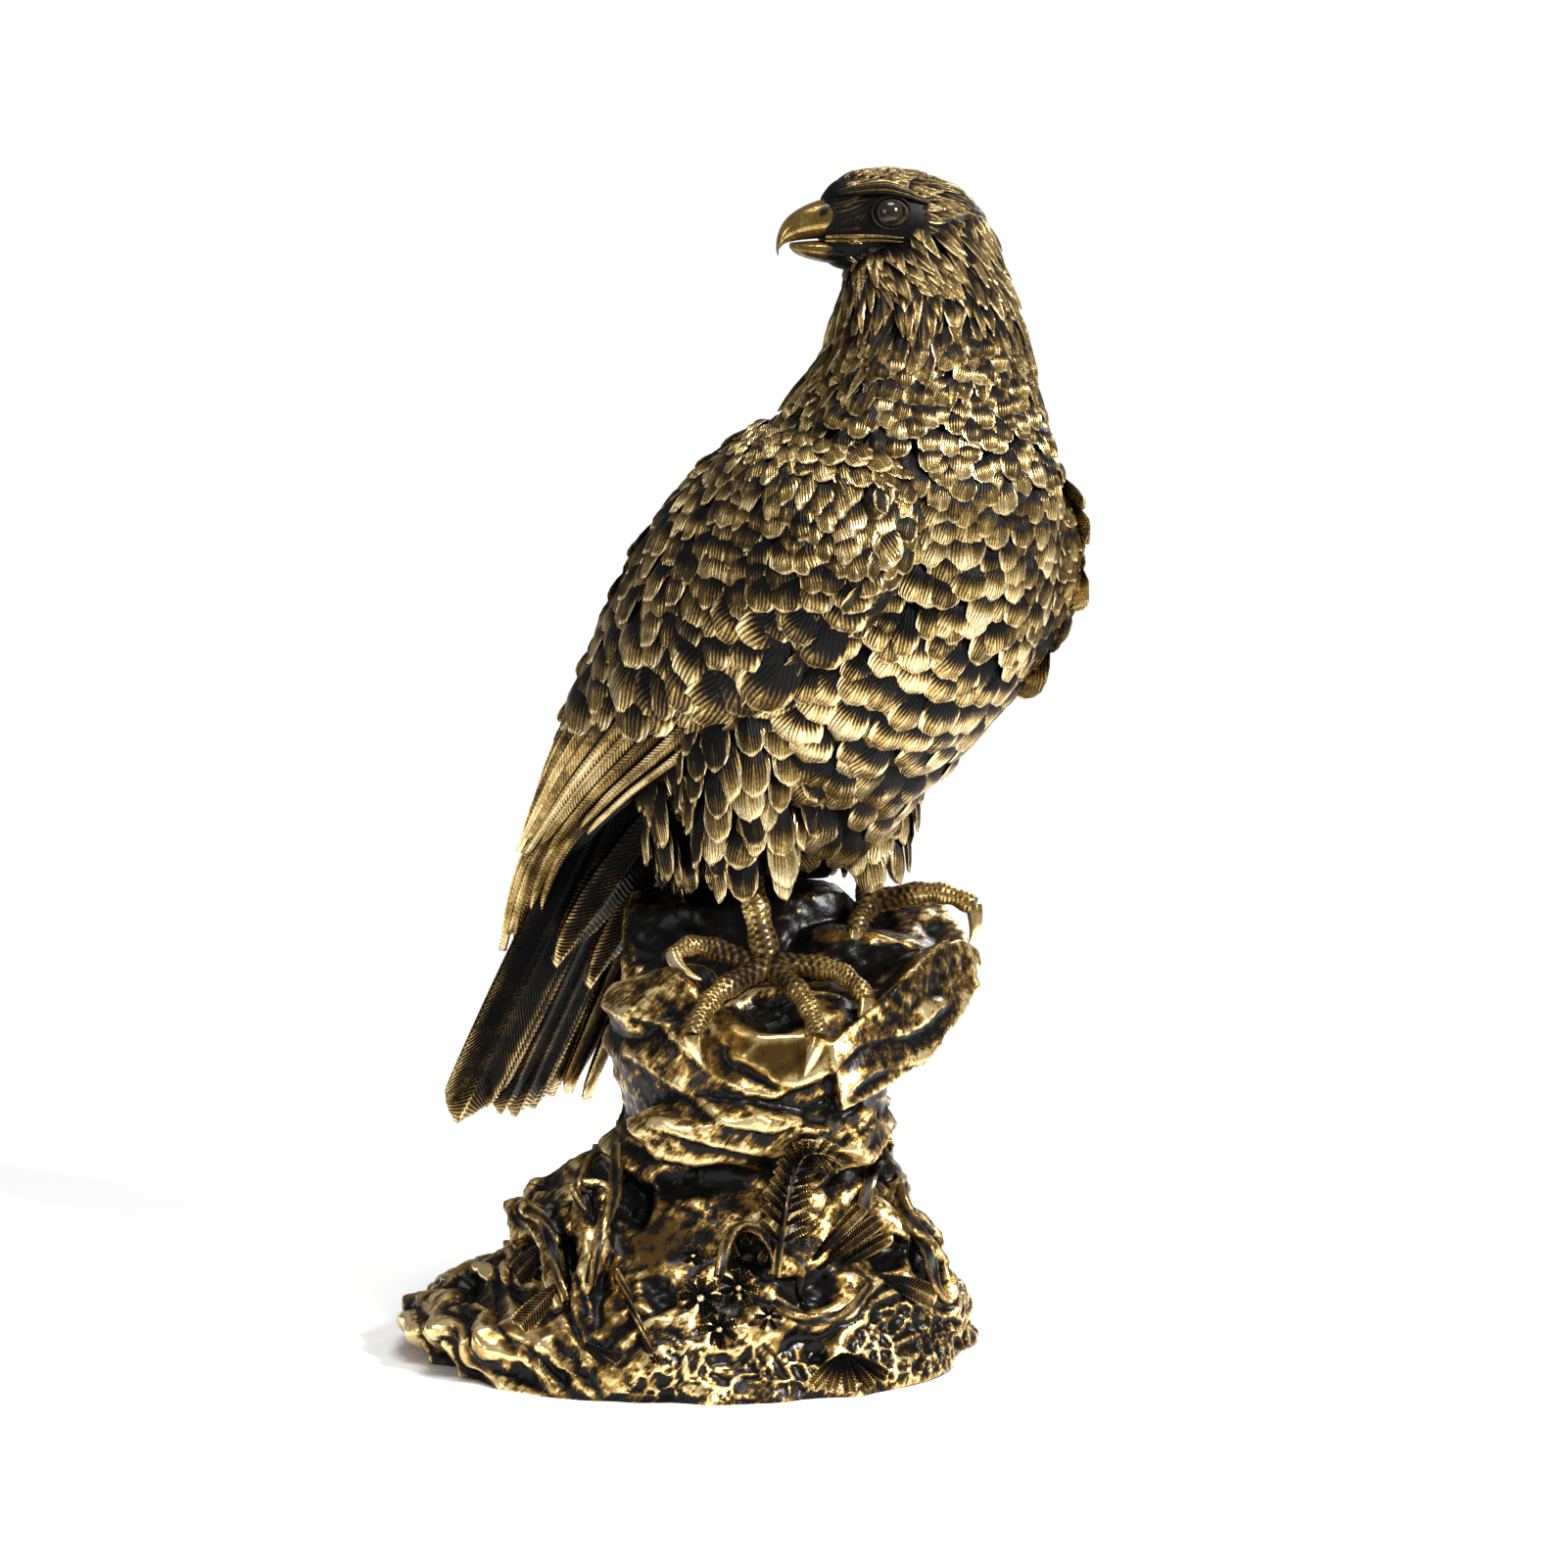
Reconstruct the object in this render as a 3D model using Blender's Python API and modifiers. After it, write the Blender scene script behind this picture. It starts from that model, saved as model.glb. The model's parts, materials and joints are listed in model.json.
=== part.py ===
"""Resin eagle on a rock, cast in one piece: a perched eagle that looks back over its right shoulder.

Metres, +Z up. The origin is the middle of the rock's flat underside, and -Y is the front.
Rock units are 172 to ROCK_WIDTH, 156 to ROCK_DEPTH and 114 to ROCK_HEIGHT. Bird units are 248 to BIRD_HEIGHT.
"""

import math
import random

import bmesh
import bpy
from mathutils import Matrix, Vector, noise

# Driving dimensions of the plinth and the bird.
ROCK_HEIGHT = 0.114
ROCK_WIDTH = 0.172
ROCK_DEPTH = 0.156
BIRD_HEIGHT = 0.248
HEADING = math.radians(48)
HEAD_TURN = math.radians(126)
BIRD_STANDS_AT = (58, 0, 114)
BODY_MIDDLE = (-12, 0, 110)

# Fineness of the cast solid.
VOXEL = BIRD_HEIGHT / 225
TRIANGLES = 9750

# Carved feathers, in bird units: visible pitch of each tract, and how far a tip stands off.
BREAST_PITCH = 12.0
COVERT_PITCH = 13.0
HACKLE_PITCH = 11.5
FEATHER_LIFT = 3.2
TAIL_FEATHERS = 9
TOE_RADIUS = 4.0
ROOT_RADIUS = 4.2
SEED = 7

# Torso and neck as level slices: height, middle forward, middle to the left, half length, half width.
TORSO = (
    (30, -34, 0, 12, 9),
    (38, -40, 0, 28, 19),
    (50, -42, 0, 41, 30),
    (62, -39, 0, 51, 37),
    (80, -30, 0, 62, 43),
    (105, -16, 0, 65, 46),
    (137, -3, 0, 60, 45),
    (157, 7, 0, 50, 42),
    (175, 13, 0, 37, 35),
    (190, 18, 0, 29, 29),
    (204, 21.5, -1, 25.3, 25.3),
    (216, 18, -3, 26, 25),
    (228, 19, -5, 20, 20),
    (237, 15, -5, 13, 12),
)

# Folded wings as bands from shoulder to tip: front edge forward and up, back edge forward and up, reach outwards.
RIGHT_WING = (
    (16, 167, -29, 172, 34),
    (38, 156, -38, 164, 47),
    (43, 135, -60, 147, 55),
    (38, 120, -80, 122, 58),
    (11, 103, -96, 95, 55),
    (-21, 80, -110, 73, 50),
    (-63, 60, -125, 43, 44),
    (-99, 38, -134, 20, 38),
    (-120, 12, -144, -12, 32),
)
LEFT_WING = (
    (16, 167, -29, 172, 34),
    (33, 156, -38, 164, 45),
    (41, 137, -60, 147, 52),
    (37, 118, -80, 122, 54),
    (21, 94, -96, 95, 51),
    (-2, 74, -110, 73, 47),
    (-52, 58, -125, 43, 44),
    (-99, 38, -134, 20, 38),
    (-120, 12, -144, -12, 32),
)

# Head along its own axis, back to front: distance, half width, top, bottom, measured from the eyes' level.
HEAD = (
    (-27, 5, -2, -10),
    (-22, 10.5, 4.4, -16),
    (-14, 13, 9.8, -19),
    (-4, 13.8, 12.8, -19),
    (6, 13.0, 13.0, -17.5),
    (14, 10.5, 11.2, -19.0),
    (19.5, 7.8, 8.0, -18.0),
    (22.5, 5.8, 4.4, -14),
)
UPPER_BILL = (
    (14, 6.8, 7.0, -7.0),
    (21, 6.2, 4.6, -7.0),
    (26, 5.4, 3.3, -7.3),
    (31, 4.6, 1.4, -8.0),
    (34.2, 3.6, -1.2, -9.5),
    (36.2, 2.8, -5.0, -13.0),
    (35.4, 2.0, -9.0, -17.5),
)
LOWER_BILL = (
    (10, 6.4, -8.4, -16.0),
    (19, 5.4, -8.4, -15.5),
    (26, 4.2, -8.8, -13.0),
    (31, 2.6, -9.4, -11.8),
)

# Thighs in the bird's frame, and shanks and toes as steps across, back and up from where it stands.
THIGHS = (
    (((-26, -22, 86), 27), ((-29, -31, 54), 18), ((-23, -34, 33), 7)),
    (((-20, 22, 78), 17), ((-22, 20, 54), 13), ((-21, 19, 34), 6)),
)
SHANKS = (
    ((-40.1, -10, 34), (-37.8, -12, 22), (-34.5, -15, 8)),
    ((-3.4, 28, 34), (-2.8, 25, 28), (-2.3, 22, 21)),
)
TOES = (
    ((-34, -15, 7), (-18, -22, 7.8), (-8.3, -26, 3.8), (-4.6, -30, -1.6), (-4.9, -32, -7.8), (-9.6, -31, -13.9)),
    ((-33, -18, 6), (-25, -32, 1.7), (-20.3, -42, -5.8), (-19.2, -47, -10.9), (-21, -48, -17), (-23.2, -48, -21.9)),
    ((-36, -18, 6), (-47.3, -32, 3.1), (-54.5, -40, -4.6), (-56.8, -45, -10.6), (-56.5, -46, -15), (-54, -46, -19)),
    ((-37, -14, 7), (-49.1, -10, 10.7), (-59, -10, 13.1), (-63.2, -12, 9.4), (-62.4, -18, 5.1), (-54.5, -24, 3.5)),
    ((-2, 21, 22), (11.5, 14, 26), (22.7, 12, 25.7), (29.4, 10, 21.9), (30.8, 8, 15.1), (28.1, 8, 10.8)),
    ((-3, 20, 21), (-5, 15, 19), (-6.5, 12, 17.1), (-7.2, 10, 14), (-7.8, 8, 10), (-9, 8, 3.8)),
    ((-2, 23, 20), (2, 34, 22), (4, 42, 20), (5, 46, 16), (5, 48, 12), (4, 48, 9)),
)
CLAW_FROM = 3

# Rock as level slices in rock units: height, left, right, front and back.
ROCK = (
    (-10, -83, 86, -78, 74),
    (3, -84, 86, -78, 74),
    (11, -86, 83, -77, 73),
    (17, -82, 83, -74, 71),
    (23, -67, 83, -70, 68),
    (30, -58, 80, -64, 62),
    (37, -54, 72, -58, 57),
    (43, -53, 67, -53, 54),
    (49, -49, 66, -49, 51),
    (55, -40, 64, -46, 48),
    (62, -30, 63, -44, 46),
    (70, -22, 61, -43, 44),
    (78, -23, 60, -44, 43),
    (88, -25, 66, -46, 45),
    (98, -24, 74, -42, 47),
    (108, -20, 80, -34, 46),
    (114, -10, 74, -24, 42),
)

# The tilted ledge under the left foot: rim and foot of its outer face, in rock units.
LEDGE_RIM = (
    (43, -45, 101), (64, -25, 118), (78, 0, 127), (86, 14, 125),
    (83, 34, 129), (77, 45, 136), (58, 50, 136), (36, 44, 126), (30, 5, 112),
)
LEDGE_FOOT = (
    (46, -50, 81), (67, -26, 89), (81, -4, 100), (90, 10, 110),
    (86, 30, 104), (74, 42, 96), (52, 46, 90), (28, 40, 88), (24, 0, 84),
)
BOULDERS = (
    ((26, -24, 99), (29, 25, 16), 11),
    ((-6, -8, 106), (20, 24, 14), 3),
    ((20, 38, 118), (48, 26, 27), 5),
    ((48, 30, 112), (40, 26, 20), 8),
    ((12, -40, 74), (31, 16, 13), 34),
    ((40, -34, 72), (22, 18, 11), 13),
    ((-36, -12, 42), (20, 26, 13), 21),
    ((14, 36, 58), (34, 22, 30), 55),
)
ROOTS = (
    ((-30, -36, 56), (-26, -48, 43), (-34, -60, 26), (-26, -68, 14)),
    ((-52, -20, 46), (-47, -36, 48), (-40, -44, 38), (-38, -56, 22)),
    ((50, -26, 50), (62, -30, 42), (69, -26, 38), (79, -24, 26), (79, -26, 10)),
    ((14, -50, 32), (22, -59, 39), (33, -58, 34), (39, -62, 18)),
    ((-74, -22, 16), (-62, -44, 16), (-43, -62, 12), (-18, -74, 7)),
    ((-78, 8, 14), (-60, -16, 28), (-44, -38, 24), (-20, -66, 14)),
    ((26, 54, 34), (43, 48, 41), (60, 40, 32), (74, 24, 18)),
    ((-26, 54, 38), (-43, 51, 30), (-60, 43, 18), (-74, 31, 9)),
    ((26, -54, 24), (24, -56, 44), (31, -52, 57), (40, -48, 55)),
)
LEAVES = ((-4, -64, 24, 20, 7), (66, -46, 18, 14, 5))


def table_row(table, x):
    """The row of a table at x, its first column, on a smooth curve through the rows (Catmull-Rom)."""
    xs = [row[0] for row in table]
    i = max(0, min(len(table) - 2, sum(x >= value for value in xs[1:])))
    t = max(0.0, min(1.0, (x - xs[i]) / (xs[i + 1] - xs[i])))
    rows = [table[max(0, min(len(table) - 1, i + k))] for k in (-1, 0, 1, 2)]
    out = []
    for a, b, c, d in zip(*(row[1:] for row in rows)):
        out.append(b + 0.5 * t * (c - a + t * (2 * a - 5 * b + 4 * c - d + t * (3 * (b - c) + d - a))))
    return out


def from_rock(x, y, z):
    """World point of a point in rock units."""
    return Vector((x * ROCK_WIDTH / 172, y * ROCK_DEPTH / 156, z * ROCK_HEIGHT / 114))


def from_perch(x, y, z):
    """World point a number of bird units to the right, back and up from where the bird stands."""
    return from_rock(*BIRD_STANDS_AT) + Vector((x, y, z)) * (BIRD_HEIGHT / 248)


def from_bird(forward, left, up):
    """World point of a point in the bird's own frame, which faces its heading."""
    s, c = math.sin(HEADING), math.cos(HEADING)
    return from_perch(forward * s + left * c, left * s - forward * c, up)


def from_head(along, out, up):
    """World point in the head's frame: along its axis, out to its left, and up from the eyes' level."""
    turn = HEADING - HEAD_TURN
    s, c = math.sin(turn), math.cos(turn)
    return from_perch(4 + along * s + out * c, -11 + out * s - along * c, 235 + up)


def torso_point(up, angle):
    """Point on the torso or neck at a height, where angle 0 is the front and 90 degrees the bird's left."""
    forward, left, half_length, half_width = table_row(TORSO, up)
    return from_bird(forward + half_length * math.cos(angle), left + half_width * math.sin(angle), up)


def wing_point(side, band, across):
    """Point on a folded wing's outer face: band runs from shoulder to tip, across from front edge (0) to back (1)."""
    table = LEFT_WING if side > 0 else RIGHT_WING
    table = [(i / (len(table) - 1), *row) for i, row in enumerate(table)]
    front_f, front_u, back_f, back_u, reach = table_row(table, band)
    bulge = math.sqrt(max(0.02, 1 - ((across - 0.32) / 0.78) ** 2))
    forward = front_f + (back_f - front_f) * across
    up = front_u + (back_u - front_u) * across
    return from_bird(forward, side * reach * bulge, up)


class Clay:
    """Closed shapes gathered as points and faces, to be cast together."""

    def __init__(self):
        self.points = []
        self.faces = []
        self.limbs = bpy.data.curves.new("limbs", "CURVE")
        ball = bmesh.new()
        bmesh.ops.create_icosphere(ball, subdivisions=2, radius=1)
        self.ball = [vert.co.copy() for vert in ball.verts], [[v.index for v in f.verts] for f in ball.faces]
        ball.free()

    def add(self, points, faces):
        """Takes over one closed shape."""
        first = len(self.points)
        self.points.extend(points)
        self.faces.extend([first + k for k in face] for face in faces)

    def loft(self, rings):
        """A closed skin through rings of equally many points, with a face at each end."""
        count = len(rings[0])
        faces = [list(range(count))[::-1], [(len(rings) - 1) * count + k for k in range(count)]]
        for i in range(len(rings) - 1):
            for k in range(count):
                a, b = i * count + k, i * count + (k + 1) % count
                faces.append([a, b, b + count, a + count])
        self.add([point for ring in rings for point in ring], faces)

    def ellipsoid(self, matrix):
        """A ball of radius one, placed and stretched."""
        points, faces = self.ball
        self.add([matrix @ point for point in points], faces)

    def feather(self, root, tip, normal, width, thickness):
        """One overlapping feather: a flat ellipsoid from its sunk root to its raised tip."""
        along = (tip - root).normalized()
        across = normal.cross(along).normalized()
        turn = Matrix((along, across, along.cross(across))).transposed().to_4x4()
        size = Matrix.Diagonal(((tip - root).length / 2, width / 2, thickness / 2, 1))
        self.ellipsoid(Matrix.Translation((root + tip) / 2) @ turn @ size)

    def feather_on(self, surface, start, end, width, lift):
        """A feather laid on surface(a, b) from one pair to another, in bird units, its tip off the surface."""
        unit = BIRD_HEIGHT / 248
        root, tip = surface(*start), surface(*end)
        aside = surface(end[0], end[1] + 0.02) - surface(end[0], end[1] - 0.02)
        normal = aside.cross(tip - root).normalized()
        if normal.dot(tip - from_bird(*BODY_MIDDLE)) < 0:
            normal.negate()
        lift = lift * unit
        self.feather(root - normal * lift * 0.8, tip + normal * lift * 0.5, normal, width * unit, lift * 1.5)

    def limb(self, points, radii):
        """A tapered round limb, claw or root along points."""
        spline = self.limbs.splines.new("NURBS")
        spline.points.add(len(points) - 1)
        for point, place, radius in zip(spline.points, points, radii):
            point.co = (*place, 1)
            point.radius = radius
        spline.use_endpoint_u = True
        spline.order_u = 3

    def cast(self, name):
        """One mesh of every shape, with the limbs as a bevelled curve."""
        self.limbs.dimensions = "3D"
        self.limbs.bevel_depth = 1.0
        self.limbs.bevel_resolution = 2
        self.limbs.resolution_u = 4
        self.limbs.use_fill_caps = True
        holder = bpy.data.objects.new("limbs", self.limbs)
        bpy.context.scene.collection.objects.link(holder)
        limbs = evaluated_mesh(holder)
        bm = bmesh.new()
        bm.from_mesh(limbs)
        bmesh.ops.remove_doubles(bm, verts=bm.verts, dist=1e-7)
        shapes = bpy.data.meshes.new("shapes")
        shapes.from_pydata(self.points, [], self.faces)
        bm.from_mesh(shapes)
        bmesh.ops.recalc_face_normals(bm, faces=bm.faces)
        mesh = bpy.data.meshes.new(name)
        bm.to_mesh(mesh)
        bm.free()
        bpy.data.objects.remove(holder)
        return mesh


def evaluated_mesh(obj):
    """The object's mesh with its modifiers taken in."""
    bpy.context.view_layer.update()
    return bpy.data.meshes.new_from_object(obj.evaluated_get(bpy.context.evaluated_depsgraph_get()))


def add_torso(clay):
    """Torso and neck as one egg-shaped skin."""
    rows, sides = 26, 32
    low, high = TORSO[0][0], TORSO[-1][0]
    heights = [low + (high - low) * i / rows for i in range(rows + 1)]
    clay.loft([[torso_point(up, 2 * math.pi * k / sides) for k in range(sides)] for up in heights])


def add_breast(clay, chance):
    """Rows of rounded feathers round the breast, belly and back, larger towards the belly."""
    up, row = 184.0, 0
    while up > 44:
        size = 0.78 + 0.4 * (184 - up) / 140
        _, _, half_length, half_width = table_row(TORSO, up)
        around = 2 * math.pi * math.sqrt((half_length**2 + half_width**2) / 2)
        count = max(8, round(around / (BREAST_PITCH * 1.1 * size)))
        for k in range(count):
            angle = 2 * math.pi * (k + 0.5 * (row % 2) + chance.uniform(-0.12, 0.12)) / count
            length = 1.7 * BREAST_PITCH * size
            start = (up + 0.5 * length, angle)
            end = (max(31, up - 0.5 * length + chance.uniform(-1, 1)), angle + chance.uniform(-0.03, 0.03))
            clay.feather_on(torso_point, start, end, 1.25 * BREAST_PITCH * size, FEATHER_LIFT)
        up -= 0.85 * BREAST_PITCH * size
        row += 1


def add_hackles(clay, chance):
    """Pointed neck feathers in loose rows, from behind the bill to the shoulders."""
    for row in range(5):
        up = 226 - row * 0.85 * HACKLE_PITCH
        count = 10 + row
        for k in range(count):
            angle = 2 * math.pi * (k + 0.5 * (row % 2) + chance.uniform(-0.2, 0.2)) / count
            start = (up + 6, angle)
            end = (up - 1.5 * HACKLE_PITCH + chance.uniform(-2, 2), angle + chance.uniform(-0.05, 0.05))
            clay.feather_on(torso_point, start, end, 9, FEATHER_LIFT * 1.1)


def add_wing(clay, side, chance):
    """A folded wing: a thick curved shield, rows of coverts, then the long flight feathers."""
    bands, steps = 24, 12
    unit = BIRD_HEIGHT / 248
    inward = from_bird(0, -side, 0) - from_bird(0, 0, 0)
    rings = []
    for i in range(bands + 1):
        band = i / bands
        line = [wing_point(side, band, k / steps) for k in range(steps + 1)]
        depth = 12 - 6 * band
        rings.append(line + [point + inward * depth for point in reversed(line)])
    clay.loft(rings)

    def surface(band, across):
        return wing_point(side, band, across)

    rows = 9
    for row in range(rows):
        band = 0.04 + 0.058 * row
        size = 0.75 + 0.6 * row / rows
        span = (surface(band, 1) - surface(band, 0)).length / unit
        count = max(4, round(span / (COVERT_PITCH * size)))
        for k in range(count + 1):
            across = min(0.98, max(0.02, (k + 0.5 * (row % 2)) / count))
            length, slant = 0.115 * size, 0.03 * size
            start = (max(0.0, band - 0.35 * length), across + slant)
            end = (band + 0.75 * length, max(0.0, across - slant + chance.uniform(-0.02, 0.02)))
            clay.feather_on(surface, start, end, 1.2 * COVERT_PITCH * size, FEATHER_LIFT)
    # Long quills: each runs from its root to its tip in three overlapping lengths.
    for first, last, count, lift in ((0.66, 1.0, 6, 2.6), (0.50, 0.84, 8, 3.6)):
        for k in range(count):
            across = (k + 0.5) / count
            reach = last - 0.09 * abs(across - 0.4)
            for part in range(3):
                a = first + (reach - first) * (part / 3 - 0.08 * (part > 0))
                b = first + (reach - first) * (part + 1) / 3
                clay.feather_on(surface, (a, across), (b, across), 9.5, lift)


def add_tail(clay):
    """The closed fan of tail feathers, and the coverts under its root."""
    unit = BIRD_HEIGHT / 248
    for k in range(TAIL_FEATHERS):
        spread = 2 * k / (TAIL_FEATHERS - 1) - 1
        root = from_bird(-80, 22 * spread, 76)
        tip = from_bird(-161 + 2 * abs(spread), 32 * spread, -61 - 5 * spread - 2 * math.cos(3 * spread))
        normal = from_bird(0.78, 0.25 * spread, 0.62 + 0.02 * k) - from_bird(0, 0, 0)
        clay.feather(root, root.lerp(tip, 0.68), normal, 16 * unit, 9 * unit)
        clay.feather(root.lerp(tip, 0.28), tip, normal, 16 * unit, 5.5 * unit)
    for forward, left, up, reach in ((-62, -22, 62, 70), (-66, -8, 60, 84), (-66, 8, 60, 80), (-62, 20, 60, 66)):
        root = from_bird(forward, left, up)
        tip = from_bird(forward - 0.66 * reach, left * 1.2, up - 0.78 * reach)
        clay.feather(root, tip, from_bird(0.7, 0, 0.5) - from_bird(0, 0, 0), 15 * unit, 9 * unit)


def add_legs(clay, chance):
    """Feathered thighs, bare shanks, and toes with claws that grip the rock."""
    unit = BIRD_HEIGHT / 248
    for thigh in THIGHS:
        places = [from_bird(*place) for place, _ in thigh]
        radii = [radius * unit for _, radius in thigh]
        clay.limb(places, radii)
        for row in range(4):
            share = 0.15 + 0.22 * row
            core = places[0].lerp(places[1], min(1, 2 * share)).lerp(places[1].lerp(places[2], share), share)
            radius = radii[0] + (radii[2] - radii[0]) * share ** 0.8
            count = 9 - row
            for k in range(count):
                angle = 2 * math.pi * (k + 0.5 * (row % 2)) / count
                out = Vector((math.cos(angle), math.sin(angle), 0))
                root = core + out * radius * 0.85 + Vector((0, 0, 10 * unit))
                tip = core + out * (radius + 2.5 * unit) - Vector((0, 0, (9 + chance.uniform(-2, 3)) * unit))
                clay.feather(root, tip, out, 11 * unit, 5 * unit)
    for shank in SHANKS:
        clay.limb([from_perch(*place) for place in shank], [4.4 * unit, 4.2 * unit, 5.2 * unit])
    for toe in TOES:
        swell = [1.15, 1.1, 1.05, 0.85]
        claw = [0.85, 0.7, 0.3]
        clay.limb([from_perch(*p) for p in toe[: CLAW_FROM + 1]], [TOE_RADIUS * unit * s for s in swell])
        clay.limb([from_perch(*p) for p in toe[CLAW_FROM:]], [TOE_RADIUS * unit * s for s in claw])


def add_stations(clay, stations):
    """A loft along the head's axis through upright ovals."""
    rings = []
    for along, half_width, top, bottom in stations:
        middle, half = (top + bottom) / 2, (top - bottom) / 2
        angles = [2 * math.pi * k / 16 for k in range(16)]
        rings.append([from_head(along, half_width * math.sin(a), middle + half * math.cos(a)) for a in angles])
    clay.loft(rings)


def add_head(clay):
    """Flat-browed skull, hooked bill, lips, brows and eyes."""
    unit = BIRD_HEIGHT / 248
    for stations in (HEAD, UPPER_BILL, LOWER_BILL):
        add_stations(clay, stations)
    for side in (-1, 1):
        brow = ((17, 7.4, 7.0), (8, 12.0, 8.0), (-2, 14.2, 6.2), (-9, 13.8, 2.0))
        clay.limb([from_head(a, side * b, c) for a, b, c in brow], [r * unit for r in (1.6, 2.7, 2.7, 1.4)])
        lip = ((22, 5.8, -7.4), (12, 9.4, -7.6), (0, 13.2, -8.2))
        clay.limb([from_head(a, side * b, c) for a, b, c in lip], [r * unit for r in (1.3, 1.6, 1.3)])
        eye = Matrix.Translation(from_head(1.5, side * 11.2, 0.6)) @ Matrix.Scale(4.2 * unit, 4)
        clay.ellipsoid(eye)


def add_rock(clay):
    """The plinth: a spreading foot, a waist and a perch, with layered and furrowed sides."""
    rows, sides = 48, 72
    rings = []
    for i in range(rows + 1):
        high = ROCK[0][0] + (ROCK[-1][0] - ROCK[0][0]) * i / rows
        left, right, front, back = table_row(ROCK, high)
        ring = []
        for k in range(sides):
            angle = 2 * math.pi * k / sides
            x, y = (right - left) / 2 * math.cos(angle), (back - front) / 2 * math.sin(angle)
            x, y = x + (left + right) / 2, y + (front + back) / 2
            ridge = 1 - 2 * abs(noise.noise(Vector((x, y, 0.8 * high + 0.25 * x)) * 0.042))
            layer = noise.noise(Vector((0.013 * x, 0.013 * y, 0.08 * (high - 0.25 * x))))
            swell = 0.97 + 0.07 * ridge + 0.06 * layer
            middle = (left + right) / 2
            ring.append(from_rock(middle + (x - middle) * swell, y * swell, high))
        rings.append(ring)
    clay.loft(rings)
    middle = sum((Vector(p) for p in LEDGE_RIM), Vector()) / len(LEDGE_RIM)
    hollow = [Vector(p).lerp(middle - Vector((0, 0, 5)), 0.45) for p in LEDGE_RIM]
    under = [Vector(p).lerp(Vector((30, 0, 74)), 0.5) for p in LEDGE_FOOT]
    clay.loft([[from_rock(*p) for p in ring] for ring in (under, LEDGE_FOOT, LEDGE_RIM, hollow)])
    for middle, half_sizes, seed in BOULDERS:
        add_boulder(clay, middle, half_sizes, seed)


def add_boulder(clay, middle, half_sizes, seed):
    """A stone with flat broken faces: a ball cut back to a set of chance planes."""
    chance = random.Random(seed)
    cuts = []
    for _ in range(16):
        direction = Vector((chance.gauss(0, 1), chance.gauss(0, 1), chance.gauss(0, 1))).normalized()
        cuts.append((direction, chance.uniform(0.72, 0.98)))
    ball = bmesh.new()
    bmesh.ops.create_icosphere(ball, subdivisions=4, radius=1)
    points = []
    for vert in ball.verts:
        reach = min(depth / max(vert.co.dot(direction), 0.25) for direction, depth in cuts)
        point = vert.co * min(reach, 1.15)
        points.append(from_rock(*(m + p * h for m, p, h in zip(middle, point, half_sizes))))
    clay.add(points, [[vert.index for vert in face.verts] for face in ball.faces])
    ball.free()


def add_growth(clay):
    """Roots, a curled root, a fern frond and small leaves on the plinth's foot."""
    thick = ROOT_RADIUS * ROCK_HEIGHT / 114
    for path in ROOTS:
        taper = [thick * (1.25 - 0.5 * k / len(path)) for k in range(len(path))]
        clay.limb([from_rock(*p) for p in path], taper)
    for x, y, z, reach, count in LEAVES:
        for k in range(count):
            angle = math.radians(20 + 140 * k / (count - 1))
            spot = from_rock(x + 0.2 * reach * math.cos(angle), y, z)
            tip = from_rock(x + reach * math.cos(angle), y - 0.35 * reach, z + 0.6 * reach * math.sin(angle) - 6)
            clay.feather(spot, tip, Vector((0, -1, 0.5)).normalized(), thick * 2.0, thick * 1.1)


def biggest_island(mesh):
    """Keeps the outer skin of a mesh, and drops any sealed pocket or crumb that it isn't joined to by an edge."""
    bm = bmesh.new()
    bm.from_mesh(mesh)
    left = set(bm.faces)
    keep = set()
    while left:
        front = [left.pop()]
        island = set(front)
        while front:
            for edge in front.pop().edges:
                for face in edge.link_faces if len(edge.link_faces) == 2 else ():
                    if face in left:
                        left.remove(face)
                        island.add(face)
                        front.append(face)
        keep = max(keep, island, key=len)
    bmesh.ops.delete(bm, geom=[face for face in bm.faces if face not in keep], context="FACES")
    bm.to_mesh(mesh)
    bm.free()


def flat_underside(mesh):
    """Cuts the solid level at the floor and closes it with one flat face."""
    bm = bmesh.new()
    bm.from_mesh(mesh)
    everything = bm.verts[:] + bm.edges[:] + bm.faces[:]
    cut = bmesh.ops.bisect_plane(
        bm, geom=everything, dist=1e-7, plane_co=(0, 0, 0), plane_no=(0, 0, -1), clear_outer=True)
    rim = [item for item in cut["geom_cut"] if isinstance(item, bmesh.types.BMEdge)]
    bmesh.ops.holes_fill(bm, edges=rim, sides=0)
    bmesh.ops.triangulate(bm, faces=bm.faces)
    bm.to_mesh(mesh)
    bm.free()


def antique_gold():
    """Gold paint rubbed over black resin."""
    material = bpy.data.materials.new("antique_gold")
    material.use_nodes = True
    shader = material.node_tree.nodes["Principled BSDF"]
    shader.inputs["Base Color"].default_value = (0.42, 0.29, 0.10, 1)
    shader.inputs["Metallic"].default_value = 0.8
    shader.inputs["Roughness"].default_value = 0.38
    return material


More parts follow.
